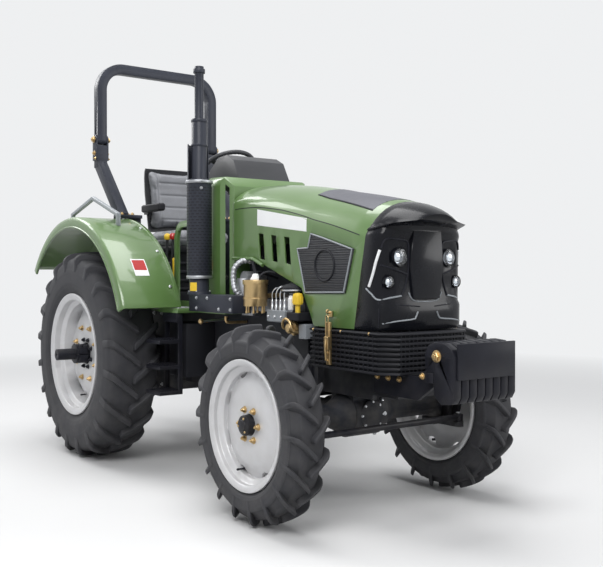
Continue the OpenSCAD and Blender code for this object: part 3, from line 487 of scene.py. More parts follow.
def lug_form(r, base, w, top, lead):
    """One lug at the top of the tyre, from sections along the width."""
    # place across, radius over, radius under, share of the lead
    given = [(-0.04 * w, r, base - 0.014, 1.0), (0.20 * w, r - 0.003, base - 0.016, 0.52),
             (0.40 * w, r - 0.014, base - 0.036, 0.12), (0.49 * w, r - 0.044, base - 0.096, 0.0)]
    fine = smooth_line(given, 5)
    first = fine[0] + (-0.006, -0.008, 0, 0.02)
    last = fine[-1] + (0.004, -0.012, -0.004, 0)
    sections = [(first, 0.006)] + [(section, 0.0) for section in fine] + [(last, 0.006)]
    b = LUG_ROUND
    lug = []
    for (y, over, under, share), shrink in sections:
        t1, w1 = top - shrink, 0.175 * w / 2 - shrink
        half = [(w1, under), (t1 + 0.22 * (w1 - t1), over - 0.3 * LUG_H), (t1 + 0.001, over - b * 0.7),
                (t1 - b * 0.35, over - b * 0.12), (t1 - b, over)]
        for c, h in [(-c, h) for c, h in half] + half[::-1]:
            turn = math.radians(lead) * share + c / r
            lug.append((h * math.sin(turn), y, h * math.cos(turn)))
    return np.array(lug), capped(len(sections), 10)


def tyre(d, w, seat, flange, bead, lugs, lead):
    """Tyre about Y from its diameter, width, rim seat, flange, half bead width and lugs on a side."""
    r = d / 2
    base = r - LUG_H
    top = 0.115 * w / 2
    shape = Shape().put(*carcass(base, w / 2, seat, flange, bead))
    lug, faces = lug_form(r, base, w, top, lead)
    start = math.radians(180 - lead) + top / r
    for i in range(lugs):
        for s, off in ((1, 0.0), (-1, 0.5)):
            t = start + (i + off) * 2 * math.pi / lugs
            c, q = math.cos(t), math.sin(t)
            x, y, z = lug.T
            shape.put(np.column_stack([x * c + z * q, s * y, z * c - x * q]), faces)
    return np.array(shape.points), shape.faces


FRONT_TYRE = tyre(1.004, 0.210, 0.305, 0.330, 0.084, 18, 11.5)
REAR_TYRE = tyre(1.410, 0.364, 0.381, 0.416, 0.1535, 20, 12.0)
for end, centre, (points, faces) in (("front", FRONT, FRONT_TYRE), ("rear", REAR, REAR_TYRE)):
    for side, s in SIDES:
        shape = Shape().put((points + (0, centre.y, 0)) * (1, s, 1) + (centre.x, 0, centre.z), faces)
        obj = shape.make(f"{end}_tyre_tread_{side}", [RUBBER], f"wheel_{end}_{side}", "tyre_rubber", sharp=50)
        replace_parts(obj, f"{end}_tyre_{side}")

# Wheel nuts, valves and hub trim
HUB_CAP = mm([(50, 0), (50, 6), (46, 10), (30, 12), (26, 17), (10, 19)])
VALVE = mm([(8, -20), (8, 12), (5, 14), (5, 40), (6, 41), (6, 52), (3, 54)])


def on_wheel(centre, s, out, r, n=1, start=200):
    """Places on a wheel's circle, so far out of its middle plane; one place suits a valve."""
    return [(centre.x + q, s * (centre.y + out), centre.z + c) for c, q in circle(r, n, start)]


for side, s in SIDES:
    out = (0, s, 0)
    trim = Shape()
    for at in on_wheel(FRONT, s, 0.053, 0.0825, 6, 30):
        trim.bolt(at, out, 0.0135, 0.014, stud=0.009)
    trim.turn(HUB_CAP, (FRONT.x, s * (FRONT.y + 0.0815), FRONT.z), out, 40, 1)
    for at in on_wheel(FRONT, s, 0.0915, 0.038, 3, 20):
        trim.bolt(at, out, 0.006, 0.005, washer=False, stud=0)
    trim.turn(VALVE, on_wheel(FRONT, s, 0.020, 0.252)[0], out, 14, 1)
    trim.make(f"front_wheel_nuts_{side}", [GOLD, BLACK_STEEL], f"wheel_front_{side}", "brass", sharp=40)
    trim = Shape()
    for at in on_wheel(REAR, s, 0.064, 0.185, 8, 22.5):
        trim.bolt(at, out, 0.0155, 0.015, stud=0.010)
    for at in on_wheel(REAR, s, 0.0645, 0.098, 8, 22.5):
        trim.bolt(at, out, 0.012, 0.012, slot=1)
    for x in (-0.058, 0.058):
        for y in (0.096, 0.128):
            trim.bolt((REAR.x + x, s * (REAR.y + y), REAR.z + 0.046), UPWARD, 0.011, 0.012, slot=1)
    trim.turn(VALVE, on_wheel(REAR, s, 0.01, 0.322)[0], out, 14, 1)
    trim.make(f"rear_wheel_nuts_{side}", [GOLD, BLACK_STEEL], f"wheel_rear_{side}", "brass", sharp=40)


# Hood surface, as in the part's source, for trim that lies on it
def hood_half(x):
    """Half outline of the hood at station x as arrays of Y and Z, from the lower edge to the crown."""
    u = (x - HOOD_X0) / (NOSE_X - HOOD_X0)
    end = 1 - math.sqrt(1 - max(0.0, 1 - (x - HOOD_X0) / ROUND) ** 2)
    crown = 1.796 - 0.175 * u ** 1.9 - 0.026 * end
    crease = 1.692 - 0.242 * u ** 1.5 - 0.008 * end
    w = HOOD_W / 2 - 0.020 * u - 0.014 * end
    stations = [HOOD_X0, HOOD_X0 + 0.230, HOOD_X0 + 0.275, NOSE_X - 0.44, NOSE_X - 0.365, NOSE_X - FLAP]
    edge = np.interp(x, stations, [1.352, 1.350, 1.334, 1.180, 1.050, HOOD_LOW])
    t = np.linspace(0, 1, 9)
    k = [(1 - t) ** 3, 3 * t * (1 - t) ** 2, 3 * t * t * (1 - t), t ** 3]
    y = k[0] * (w - 0.006) + k[1] * (0.84 * w - 0.006) + k[2] * 0.48 * w
    z = k[0] * crease + k[1] * (crease + 0.66 * (crown - crease)) + k[2] * crown + k[3] * crown
    rise = crease - edge
    return (np.concatenate([[w - 0.004, w - 0.001, w, w - 0.001], y]),
            np.concatenate([[edge, edge + 0.35 * rise, edge + 0.75 * rise, crease - 0.016], z]))


def lean(x, z):
    return x + max(0.0, (x - NOSE_X + FLAP) / FLAP) * (z - HOOD_LOW) * 0.2


def on_crown(x, y, lift):
    ys, zs = hood_half(x)
    z = float(np.interp(abs(y), ys[4:][::-1], zs[4:][::-1]))
    return lean(x, z), y, z + lift


def on_side(x, z, s, lift):
    ys, zs = hood_half(x)
    return lean(x, z), s * (float(np.interp(z, zs, ys)) + lift), z


def on_mask(y, z, lift):
    """Place on the front mask's face, across and up."""
    w = np.interp(z, [0.980, 1.240, 1.446, 1.474, 1.500], [0.276, 0.280, 0.280, 0.266, 0.250])
    out = np.interp(z, [0.980, 1.000, 1.100, 1.124, 1.424, 1.460, 1.500],
                    [0.004, 0.014, 0.014, 0, 0, 0.012, 0.014])
    at = [0.0, 0.36 * w, 0.66 * w, w - 0.048, w - 0.020, w - 0.005]
    x = FRONT.x + out + float(np.interp(abs(y), at, [0.527, 0.524, 0.516, 0.506, 0.494, 0.472]))
    return x + lift, y, z


# Hood trim: top insert with its edges, blank side sheets, seams beside the top, lower rail
INSERT_X, INSERT_LENGTH, INSERT_TAPER = 0.93, 0.38, 0.024
SEAM_X = [0.26, 0.50, 0.75, 0.95, 1.14, 1.33]
SEAM_DROP = [0.050, 0.022, 0.006, 0.003, 0.006, 0.014]
RAIL_LINE = mm([(222, 290, 1350), (300, 297.5, 1347.5), (400, 298, 1346.5), (448, 298, 1345),
                (492, 298, 1331), (560, 296.5, 1305)])


def mirrored(points, s):
    return [(x, s * y, z) for x, y, z in points]


def insert_place(i, j, lift, half=0.170):
    return on_crown(INSERT_X + INSERT_LENGTH * i, (half + INSERT_TAPER * i) * (2 * j - 1), lift)


trim, sheet, seam, rail = Shape(), Shape(), Shape(), Shape()
trim.patch(insert_place, 30, 10, 0.0025)
for s in (-1, 1):
    def sheet_place(i, j, lift, s=s):
        top, low = 1.628 - 0.075 * i, 1.536 - 0.054 * i
        return on_side(0.500 + 0.470 * i, low + (top - low) * j, s, lift * 0.4)

    def seam_place(i, j, lift, s=s):
        x = 0.262 + 1.060 * i
        z = hood_half(x)[1][4] - np.interp(x, SEAM_X, SEAM_DROP) + 0.0045 * (j - 0.5)
        return on_side(x, z, s, lift * 0.5)

    edge = [insert_place(k / 16, (s + 1) / 2, 0.001, 0.175) for k in range(17)]
    trim.pipe(edge, 0.0035, 8, 1, curve=3)
    sheet.patch(sheet_place, 24, 6, 0.002)
    seam.patch(seam_place, 60, 1, 0.002)
    rail.pipe(mirrored(RAIL_LINE, s), 0.011, 12, curve=5)
trim.make("hood_top_insert", [INSERT, MATT_BLACK], "hood", "dark_plastic", sharp=30)
sheet.make("hood_side_sheets", [WHITE], "hood", "rim_silver", sharp=30)
seam.make("hood_seams", [MATT_BLACK], "hood", "dark_plastic", sharp=30)
rail.make("hood_lower_rail", [GREEN], "hood", "green_paint", sharp=40)

# Side grilles: light outline, raised oval and mesh bars
OUTLINE = [(NOSE_X + x, z) for x, z in (
    (-0.351, 1.473), (-0.245, 1.448), (0.008, 1.381), (-0.062, 1.157), (-0.402, 1.150), (-0.478, 1.394),
    (-0.378, 1.396))]
GRILLE_Y = 0.2885


def inset(k):
    """Grille's outline, drawn in towards its middle."""
    mx, mz = np.mean(OUTLINE, 0)
    return [(mx + (x - mx) * k, mz + (z - mz) * k) for x, z in OUTLINE]


def edge_line(points, step):
    """Even points along a closed outline."""
    out = []
    for (x0, z0), (x1, z1) in edges(points):
        n = max(2, int(math.hypot(x1 - x0, z1 - z0) / step))
        out += [(x0 + (x1 - x0) * k / n, z0 + (z1 - z0) * k / n) for k in range(n)]
    return out


grille = Shape()
for s in (-1, 1):
    face = s * GRILLE_Y
    grille.pipe([(x, face, z) for x, z in edge_line(inset(0.965), 0.02)], 0.0045, 8, closed=True)
    oval = [(1.131 + 0.082 * c, face, 1.300 + 0.080 * q) for c, q in circle(1.0, 48)]
    grille.pipe(oval, 0.0065, 10, 1, closed=True)
    for k in range(1, 27):
        z = 1.150 + 0.012 * k
        ends = [x0 + (x1 - x0) * (z - z0) / (z1 - z0)
                for (x0, z0), (x1, z1) in edges(inset(0.95)) if (z0 - z) * (z1 - z) < 0]
        grille.pipe([(x, face - s * 0.001, z) for x in (min(ends), max(ends))], 0.0022, 6, 1)
grille.make("side_grille_trim", [GREY_PAINT, MATT_BLACK], "hood", "grille_black", sharp=40)

# Front lamps: dark bowl, bright ring with a lens, side light and a clear cover each
LAMPS = ((0.165, 1.338, 0.048, 0.031, 0.013), (0.226, 1.217, 0.032, 0.023, 0.006))
lamps, glass = Shape(), Shape()
for s in (-1, 1):
    for y, z, r, ring, shift in LAMPS:
        x = FRONT.x + 0.522 - 0.010 * (y - 0.165) / 0.060
        bowl = [(r * 0.985, -0.060), (r * 0.985, 0.002), (r * 0.95, 0.006), (r * 0.90, 0.005),
                (r * 0.88, -0.002), (r * 0.80, -0.016), (r * 0.5, -0.020), (0.002, -0.021)]
        lamps.turn(bowl, (x, s * y, z), AHEAD, 48, 1)
        at = (x, s * (y + shift), z)
        bright = [(ring, -0.022), (ring, -0.006), (ring - 0.002, -0.003), (ring - 0.006, -0.004),
                  (ring - 0.007, -0.010), (ring - 0.007, -0.022)]
        lamps.turn(bright, at, AHEAD, 40, 0, ring=True)
        lens = [(ring - 0.008, -0.022), (ring - 0.008, -0.012), (ring * 0.6, -0.005), (ring * 0.3, -0.002),
                (0.001, -0.001)]
        lamps.turn(lens, at, AHEAD, 32, 2)
        light = ring + 0.006
        arc = [(x - 0.010, s * (y + shift) - s * light * math.cos(a), z + light * math.sin(a))
               for a in np.linspace(-0.75, 0.75, 15)]
        lamps.pipe(arc, 0.0030, 8)
        dome = [(r * 0.89, 0.001), (r * 0.84, 0.005), (r * 0.66, 0.009), (r * 0.36, 0.0125), (0.002, 0.0138),
                (0.002, 0.0112), (r * 0.36, 0.0100), (r * 0.66, 0.0064), (r * 0.82, 0.002)]
        glass.turn(dome, (x, s * y, z), AHEAD, 48, ring=True)
obj = lamps.make("headlamp_bowls", [CHROME, GLOSS_BLACK, LENS], "hood", "lamp_lens", sharp=40)
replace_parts(obj, "headlamps")
glass.make("headlamp_covers", [CLEAR], "hood", "lamp_lens", sharp=60)

# Mask trim: light strips, lower lines and lamp surrounds, as radius, facets, slot and points.
# Points are Y and Z on the mask's face, or X, Y and Z beside it.
MASK_LINES = (
    (0.0075, 10, 1, [(1.542, 0.264, 1.372), (1.525, 0.275, 1.310), (1.506, 0.278, 1.251),
                     (1.480, 0.2795, 1.194)]),
    (0.0045, 8, 2, [(1.457, 0.2795, 1.184), (1.498, 0.2785, 1.157), (1.533, 0.269, 1.131), (0.218, 1.140),
                    (0.154, 1.149)]),
    (0.0048, 8, 0, [(0.154, 1.149), (0.128, 1.210), (0.114, 1.280), (0.112, 1.340), (0.118, 1.408),
                    (0.160, 1.422), (0.240, 1.424), (0.262, 1.380)]),
    (0.0050, 8, 0, [(0.264, 1.300), (0.200, 1.279), (0.121, 1.255)]),
    (0.0036, 8, 2, [(0.112, 1.164), (0.080, 1.126), (0.0, 1.119)]),
    (0.0042, 8, 2, [(0.262, 1.015), (0.194, 1.026), (0.095, 1.034), (0.078, 1.044), (0.064, 1.071)]),
    (0.0028, 8, 0, [(0.263, 1.108), (0.160, 1.104), (0.051, 1.096)]),
    (0.0026, 8, 0, [(0.269, 1.123), (0.271, 1.060), (0.272, 0.995)]),
)
MASK_LIFT = 0.001
trim = Shape()
for s in (-1, 1):
    for radius, n, slot, points in MASK_LINES:
        line = [on_mask(s * q[0], q[1], MASK_LIFT) if len(q) == 2 else (q[0], s * (q[1] + MASK_LIFT), q[2])
                for q in points]
        trim.pipe(line, radius, n, slot, curve=6)
trim.make("mask_trim", [BLACK_STEEL, WHITE, GREY_PAINT], "hood", "mask_black", sharp=40)

# Exhaust: slotted shield, clamp rings, cover bolts and a blank label
SHIELD_R, PIPE_R, LABEL_R = 0.076, 0.046, 0.0602
CLAMPS = ((1.815, SHIELD_R + 0.005, 0.009, 0.0015, 64, 1), (1.236, SHIELD_R, 0.009, 0.0015, 64, 1),
          (2.188, PIPE_R, 0.008, 0.002, 48, 3), (2.040, PIPE_R, 0.008, 0.002, 48, 3))
BRACKET_BOLTS = ((0.095, 1.112), (0.095, 1.050), (0.225, 1.112), (0.360, 1.050), (0.490, 1.112),
                 (0.490, 1.050))


def on_stack(r, a, z):
    return STACK.x + r * math.cos(a), STACK.y + r * math.sin(a), z


def label_place(i, j, lift):
    return on_stack(LABEL_R + lift * 0.4, math.radians(-96 + 52 * j), 1.152 + 0.052 * i)


trim = Shape()
for row in range(30):
    for k in range(16):
        def slot_place(i, j, lift, start=22.5 * k + 11.25 * (row % 2), z=1.262 + 0.0178 * row):
            return on_stack(SHIELD_R + lift * 0.3, math.radians(start + 15 * j), z + 0.0052 * (i - 0.5))
        trim.patch(slot_place, 1, 4, 0.0015)
for z, r, half, out, n, slot in CLAMPS:
    rim = r + out + 0.0015
    profile = [(r - 0.001, -half), (r + out, -half), (rim, 0.003 - half), (rim, half - 0.003),
               (r + out, half), (r - 0.001, half)]
    trim.turn(profile, (STACK.x, STACK.y, z), UPWARD, n, slot, ring=True)
for c, q in circle(1.0, 2, -20):
    trim.bolt(STACK + Vector((SHIELD_R * c, SHIELD_R * q, 1.775)), (c, q, 0), 0.007, 0.005, slot=1, stud=0)
    clamp = SHIELD_R + 0.007
    trim.bolt(STACK + Vector((clamp * c, clamp * q, 1.815)), (c, q, 0), 0.008, 0.006, slot=1)
trim.patch(label_place, 4, 10, 0.0015, 2)
for x, z in BRACKET_BOLTS:
    trim.bolt((x, -0.470, z), RIGHT, 0.008, 0.006, slot=1, stud=0)
for c, q in circle(0.0655, 4, 45):
    trim.bolt(STACK + Vector((c, q, 1.146)), UPWARD, 0.005, 0.005, washer=False, slot=1, stud=0)
trim.make("exhaust_trim", [MATT_BLACK, ALLOY, YELLOW, CHARCOAL], "chassis", "exhaust_black")

# Engine's right side: filter with studs, cap, band and hoses
BRASS, PALE_CAP, RUBBERY, CAST, BRIGHT, PAINTED, CAP = range(7)
FILTER = Vector((0.600, -0.372, 0.0))
fit = Shape()
for c, q in circle(0.052, 6, 15):
    fit.turn(mm([(7.5, 0), (7.5, 12), (5, 13), (5, 41)]), FILTER + Vector((c, q, 1.036)), UPWARD, 12, BRASS)
fit.turn(mm([(30, 0), (30, 10), (22, 16), (18, 30), (12, 36), (4, 37)]), (FILTER.x, FILTER.y, 1.221), UPWARD,
         32, PALE_CAP)
fit.turn(mm([(66, -4), (69.5, -4), (70.5, 0), (69.5, 4), (66, 4)]), (FILTER.x, FILTER.y, 1.118), UPWARD, 48,
         BRASS, ring=True)
for dx in (-0.034, 0.034):
    fit.pipe([(FILTER.x + dx, FILTER.y + 0.01, 1.216), (FILTER.x + dx, FILTER.y + 0.012, 1.245),
              (FILTER.x + dx * 1.4, FILTER.y + 0.05, 1.266), (FILTER.x + dx * 2.2, -0.255, 1.255),
              (FILTER.x + dx * 2.6, -0.160, 1.230)], 0.007, 12, RUBBERY, curve=8)

# Ribbed hose with its clamps, and the hose to the filter
hose = smooth_line(mm([(395, -250, 1330), (372, -315, 1332), (350, -356, 1290), (352, -366, 1220),
                   (376, -366, 1160), (392, -330, 1118), (398, -268, 1105)]), 12)
fit.pipe(hose, 0.0165 + 0.0016 * np.sin(np.arange(len(hose)) * math.pi / 2), 18, CAST)
for k in (0, 66):
    fit.pipe(hose[k:k + 3], 0.0195, 20, BRIGHT)
fit.pipe(mm([(455, -160, 1345), (450, -235, 1342), (452, -283, 1312), (480, -292, 1262), (525, -300, 1232),
         (560, -330, 1206)]), 0.013, 14, RUBBERY, curve=10)

# Injection pump with four lines
for k in range(4):
    x = 0.682 + 0.040 * k
    fit.turn(mm([(11.5, 0), (11.5, 26), (9, 30), (9, 52), (6, 56), (4.5, 66)]), (x, -0.312, 1.052), UPWARD,
             14, BRIGHT)
    fit.pipe([(x, -0.312, 1.112), (x, -0.312, 1.150), (x + 0.008, -0.290, 1.176 + 0.006 * k),
              (x + 0.02, -0.220, 1.190 + 0.01 * k), (x + 0.03, -0.155, 1.215)], 0.0042, 8, BRIGHT, curve=8)
fit.box((0.655, -0.336, 0.990), (0.832, -0.258, 1.056), 0.010, PAINTED)
for x in (0.680, 0.742, 0.804):
    fit.bolt((x, -0.336, 1.020), RIGHT, 0.008, 0.006, slot=BRIGHT, stud=0)

# Breather cover, filler neck, oil cap with ribs
BREATHER = (0.822, -0.262, 1.152)
OIL_X, OIL_Y = 0.935, -0.318
fit.turn(mm([(52, 0), (68, 6), (72, 18), (70, 30), (58, 42), (34, 50), (10, 53)]), BREATHER, UPWARD, 48,
         RUBBERY)
fit.turn(mm([(71, 9), (75, 10), (76, 14), (75, 18), (71, 19)]), BREATHER, UPWARD, 48, BRIGHT, ring=True)
fit.pipe(mm([(822, -262, 1100), (822, -262, 1156)]), 0.026, 20, PAINTED)
fit.turn(mm([(16, 0), (17, 6), (17, 60), (12, 66), (12, 74), (4, 76)]), (0.872, -0.318, 1.062), UPWARD, 24,
         PALE_CAP)
fit.turn(mm([(14, -60), (14, 0), (26, 2), (27.5, 8), (27.5, 46), (25, 58), (12, 63), (3, 64)]),
         (OIL_X, OIL_Y, 1.090), UPWARD, 28, CAP)
for c, q in circle(0.0272, 14):
    fit.pipe([(OIL_X + c, OIL_Y + q, z) for z in (1.100, 1.134)], 0.0022, 6, CAP)
fit.box((0.850, -0.336, 1.004), (0.960, -0.215, 1.048), 0.008, RUBBERY)

# Small pump, its pipe, and plugs further back
fit.turn(mm([(20, 0), (40, 2), (42, 10), (40, 24), (28, 30), (28, 48), (20, 56), (6, 58)]),
         (0.868, -0.285, 0.962), RIGHT, 32, BRASS)
fit.box((0.836, -0.300, 0.930), (0.900, -0.215, 0.994), 0.008, RUBBERY)
fit.pipe(mm([(806, -240, 955), (806, -318, 958), (822, -338, 996), (856, -342, 1013), (893, -340, 994),
         (908, -330, 950), (908, -250, 930)]), 0.0075, 12, BRASS, curve=10)
fit.box((0.915, -0.300, 0.906), (0.978, -0.215, 0.986), 0.006, PAINTED)
fit.turn(mm([(6, -30), (6, 0), (12.5, 6), (16.5, 14), (16.5, 20), (12.5, 28), (4, 33)]),
         (0.024, -0.385, 0.962), (0, -1, 0.05), 24, BRASS)
fit.pipe(mm([(24, -180, 972), (24, -385, 962)]), 0.007, 12, BRIGHT)
fit.pipe(mm([(256, -205, 966), (256, -330, 966), (256, -358, 976), (256, -360, 1002)]), 0.009, 12, BRASS,
         curve=8)
fit.make("engine_side_fittings", [GOLD, WHITE, MATT_BLACK, ALLOY, STEEL, GREY_PAINT, YELLOW], "chassis",
         "engine_metal")

# Left side of the engine: alternator, cooling pipe, and bolts along both sides
left = Shape()
left.turn(mm([(30, 0), (62, 4), (66, 16), (66, 90), (60, 104), (30, 108)]), (0.720, 0.300, 1.080), AHEAD, 40,
          0)
left.turn(mm([(20, 0), (40, 1), (40, 8), (32, 14), (40, 20), (40, 26), (20, 27)]), (0.832, 0.300, 1.080),
          AHEAD, 32, 1)
left.box((0.730, 0.205, 1.040), (0.810, 0.300, 1.066), 0.006)
left.pipe(mm([(300, 150, 1300), (300, 255, 1290), (360, 272, 1240), (560, 272, 1215), (840, 262, 1225),
          (900, 200, 1260), (900, 120, 1270)]), 0.018, 16, 2, curve=10)
for k in range(5):
    for s in (-1, 1):
        left.bolt((0.270 + 0.13 * k, s * 0.215, 0.760), (0, s, 0), 0.009, 0.007, slot=1)
left.make("engine_left_fittings", [ALLOY, STEEL, MATT_BLACK], "chassis", "engine_metal")

# Operator's place: gauges, column rings, stalks
GAUGE_FACE = Vector((-0.537, 0.0, 0.843))
STEER = Vector((-0.335, 0, 1.950))
TILT = math.radians(35)
COLUMN = Vector((-math.sin(TILT), 0, math.cos(TILT)))
dash = Shape()
for y, r in ((0.0, 0.052), (-0.105, 0.036), (0.105, 0.036)):
    at = Vector((-0.175, y, 1.965))
    dash.turn([(r, -0.002), (r, 0.006), (r * 0.93, 0.009), (r * 0.86, 0.007), (r * 0.84, 0.002),
               (r * 0.5, 0.0015), (0.002, 0.0015)], at, GAUGE_FACE, 40, 0)
    corners = [(r * 0.66, -0.0012), (r * 0.78, -0.0012), (r * 0.78, 0.0012), (r * 0.66, 0.0012)]
    for k in range(11):
        a = math.radians(-30 + 24 * k)
        mark = [(math.cos(a) * u - math.sin(a) * v, math.sin(a) * u + math.cos(a) * v, h)
                for h in (0.001, 0.0028) for u, v in corners]
        dash.put(moved(mark, at, GAUGE_FACE), capped(2, 4), 1)
    arrow = [(-0.002, -r * 0.12), (0.002, -r * 0.12), (0.0006, r * 0.66), (-0.0006, r * 0.66)]
    needle = [(u, v, h) for h in (0.003, 0.0042) for u, v in arrow]
    dash.put(moved(needle, at, GAUGE_FACE), capped(2, 4), 2)
    dash.turn(mm([(6, 2), (6, 5), (3, 6.5)]), at, GAUGE_FACE, 14, 0)
for k in range(7):
    dash.turn(mm([(44.5, -6), (48, -4), (49.5, 0), (48, 4), (44.5, 6)]), STEER - COLUMN * (0.060 + 0.019 * k),
              COLUMN, 36, 0, ring=True)
for s in (-1, 1):
    stalk = smooth_line([STEER - COLUMN * down + Vector((0, s * y, z)) for down, y, z in (
        (0.070, 0.040, 0), (0.060, 0.090, 0.004), (0.046, 0.150, 0.010))], 8)
    dash.pipe(stalk, np.linspace(0.0055, 0.0085, len(stalk)), 12)
dash.make("dash_fittings", [PLASTIC, WHITE, RED], "chassis", "dark_plastic")

# Steering wheel: cap, and finger ridges inside the rim
cap = Shape()
cap.turn(mm([(49, -30), (49.5, 10), (47, 21), (40, 27), (26, 31), (4, 32)]), STEER, COLUMN, 44, 0)
cap.turn(mm([(22, 30), (24, 33.5), (22, 34.5), (3, 35)]), STEER, COLUMN, 32, 1)
left_hand = Vector((0, 1, 0))
for c, q in circle(1.0, 40):
    d = COLUMN.cross(left_hand) * c + left_hand * q
    ridge = [STEER + d * 0.190 + (d * math.cos(b) + COLUMN * math.sin(b)) * 0.0152
             for b in np.linspace(1.75, 4.53, 9)]
    cap.pipe(ridge, 0.0019, 6)
cap.make("steering_wheel_cap", [PLASTIC, MATT_BLACK], "steering_wheel", "dark_plastic")

# Hand levers: sleeve on the front one, rubber boots, knobs
LEVER_Y, KNOB_Y = -0.272, -0.280
work = Shape()
sleeve = smooth_line([(-0.569, LEVER_Y, 1.180), (-0.571, LEVER_Y, 1.270), (-0.577, LEVER_Y, 1.365)], 10)
grip = np.interp(np.linspace(0, 1, len(sleeve)), [0, 0.06, 0.5, 0.94, 1],
                 [0.010, 0.013, 0.014, 0.013, 0.008])
work.pipe(sleeve, grip, 18)
work.pipe([(-0.566, LEVER_Y, FLOOR - 0.002), (-0.569, LEVER_Y, 1.185)], 0.008, 12, 1)
for x, y in ((-0.700, KNOB_Y), (-0.620, KNOB_Y), (-0.566, LEVER_Y)):
    work.turn(mm([(30, 0), (28, 8), (20, 14), (22, 20), (14, 26), (16, 32), (11, 40), (9, 44)]),
              (x, y, FLOOR), UPWARD, 28, 2)
for x, slot in ((-0.660, 0), (-0.580, 3)):
    work.turn(mm([(18, 0), (22.5, 8), (24, 20), (22.5, 31), (16, 40), (4, 44)]), (x, KNOB_Y, 1.490), UPWARD,
              28, slot)
work.make("lever_grips", [YELLOW, STEEL, MATT_BLACK, RED], "chassis", "dark_plastic")

# Floor plates with raised pads in two directions
PLATES = ((-0.388, 0.336, -0.140, 0.472), (-0.388, -0.472, -0.140, -0.336), (-0.690, -0.250, -0.205, 0.250))
PAD_LONG, PAD_WIDE = 0.011, 0.0032
tread = Shape()
for x0, y0, x1, y1 in PLATES:
    tread.box((x0, y0, FLOOR - 0.001), (x1, y1, FLOOR + 0.004), 0.008)
    for x in np.arange(x0 + 0.022, x1 - 0.012, 0.030):
        for k, y in enumerate(np.arange(y0 + 0.016, y1 - 0.010, 0.022)):
            turn = math.radians(90 * (k % 2) - 45)
            c, q = math.cos(turn), math.sin(turn)
            points = [(x + c * u * m - q * v * m, y + q * u * m + c * v * m, FLOOR + h)
                      for h, m in ((0.0035, 1.0), (0.0058, 0.45))
                      for u, v in ((-PAD_LONG, 0), (0, -PAD_WIDE), (PAD_LONG, 0), (0, PAD_WIDE))]
            tread.put(points, ring_faces(2, 4) + [(4, 5, 6, 7)])
tread.make("platform_tread_plates", [ALLOY], "chassis", "floor_plate", sharp=30)

# Steps: toothed ridges across each tread, fourteen teeth long
STEP_X0, STEP_X1, TEETH = -0.322, -0.148, 14
TOOTH = ((0.0, 0.0), (0.25, 0.006), (0.75, 0.006))
steps = Shape()
m = 3 * TEETH
ridge_faces = [(i, i + 1, m + i + 1, m + i) for i in range(m - 1)]
ridge_faces += [(*range(m - 1, -1, -1), 2 * m, 2 * m + 2), (*range(m, 2 * m), 2 * m + 3, 2 * m + 1)]
for s in (-1, 1):
    for z in (0.524, 0.684, 0.844):
        for k in range(7):
            ys = [s * (0.456 + 0.021 * k) + w for w in (-0.003, 0.003)]
            ridge = [(STEP_X0 + 0.174 * (i + q) / TEETH, y, z + h - 0.0005)
                     for y in ys for i in range(TEETH) for q, h in TOOTH]
            ridge += [(x, y, z - 0.003) for x in (STEP_X0, STEP_X1) for y in ys]
            steps.put(ridge, ridge_faces)
steps.make("step_ridges", [BLACK_STEEL], "chassis", "chassis_black", sharp=25)


# Fenders: rolled lip and bead, blank reflector sheets, bolts
def on_fender(r, degrees, y):
    a = math.radians(degrees)
    return REAR.x + r * math.cos(a), y, REAR.z + r * math.sin(a)


LIP = (0.871, 0.8275, 22, 140.5, 0.0065, 10)
BEAD = (FENDER_R, 0.452, 24, 140, 0.0035, 8)
REFLECTORS = ((35.0, 43.2, 0.598, 0.694, 0.0018, 1), (37.6, 42.6, 0.604, 0.688, 0.0026, 2))
wing = Shape()
for s in (-1, 1):
    for r, y, lo, hi, radius, n in (LIP, BEAD):
        wing.pipe([on_fender(r, a, s * y) for a in np.linspace(lo, hi, 90)], radius, n)
    for lo, hi, y0, y1, thick, slot in REFLECTORS:
        def sheet_at(i, j, lift, s=s, lo=lo, hi=hi, y0=y0, y1=y1):
            return on_fender(FENDER_R + lift, lo + (hi - lo) * i, s * (y0 + (y1 - y0) * j))
        wing.patch(sheet_at, 8, 4, thick, slot)
    for a in (30, 48, 66, 84, 102, 120, 134):
        out = (math.cos(math.radians(a)), 0, math.sin(math.radians(a)))
        wing.bolt(on_fender(FENDER_R, a, s * 0.476), out, 0.008, 0.005, slot=3, stud=0)
wing.make("fender_trim", [GREEN, WHITE, RED, STEEL], "chassis", "green_paint")

# Tail lamps: red and amber lenses with ribs
tail = Shape()
for s in (-1, 1):
    for y0, y1, slot in ((0.614, 0.666, 1), (0.669, 0.766, 0)):
        tail.box((-1.744, s * y0, 1.359), (-1.730, s * y1, 1.446), 0.005, slot)
        for k in range(7):
            ends = sorted((s * (y0 + 0.005), s * (y1 - 0.005)))
            tail.pipe([(-1.7438, y, 1.367 + 0.012 * k) for y in ends], 0.0026, 8, slot)
tail.make("tail_lamp_lenses", [RED, AMBER], "chassis", "tail_red")

# Roll bar: pin heads and lock bolts on both faces of each post, foot bolts
bar = Shape()
for s in (-1, 1):
    for out, pin_y, lock_y in ((s, 0.518, 0.511), (-s, 0.410, 0.417)):
        bar.bolt((-1.374, s * pin_y, 2.24523), (0, out, 0), 0.019, 0.012)
        bar.bolt((-1.374, s * lock_y, 2.145), (0, out, 0), 0.013, 0.010)
        bar.bolt((-1.355, s * lock_y, 2.105), (0, out, 0), 0.009, 0.008)
    for x in (-1.035, -0.965):
        for y in (0.400, 0.478):
            bar.bolt((x, s * y, 1.671), UPWARD, 0.012, 0.010)
bar.make("roll_bar_bolts", [GOLD], "chassis", "brass")

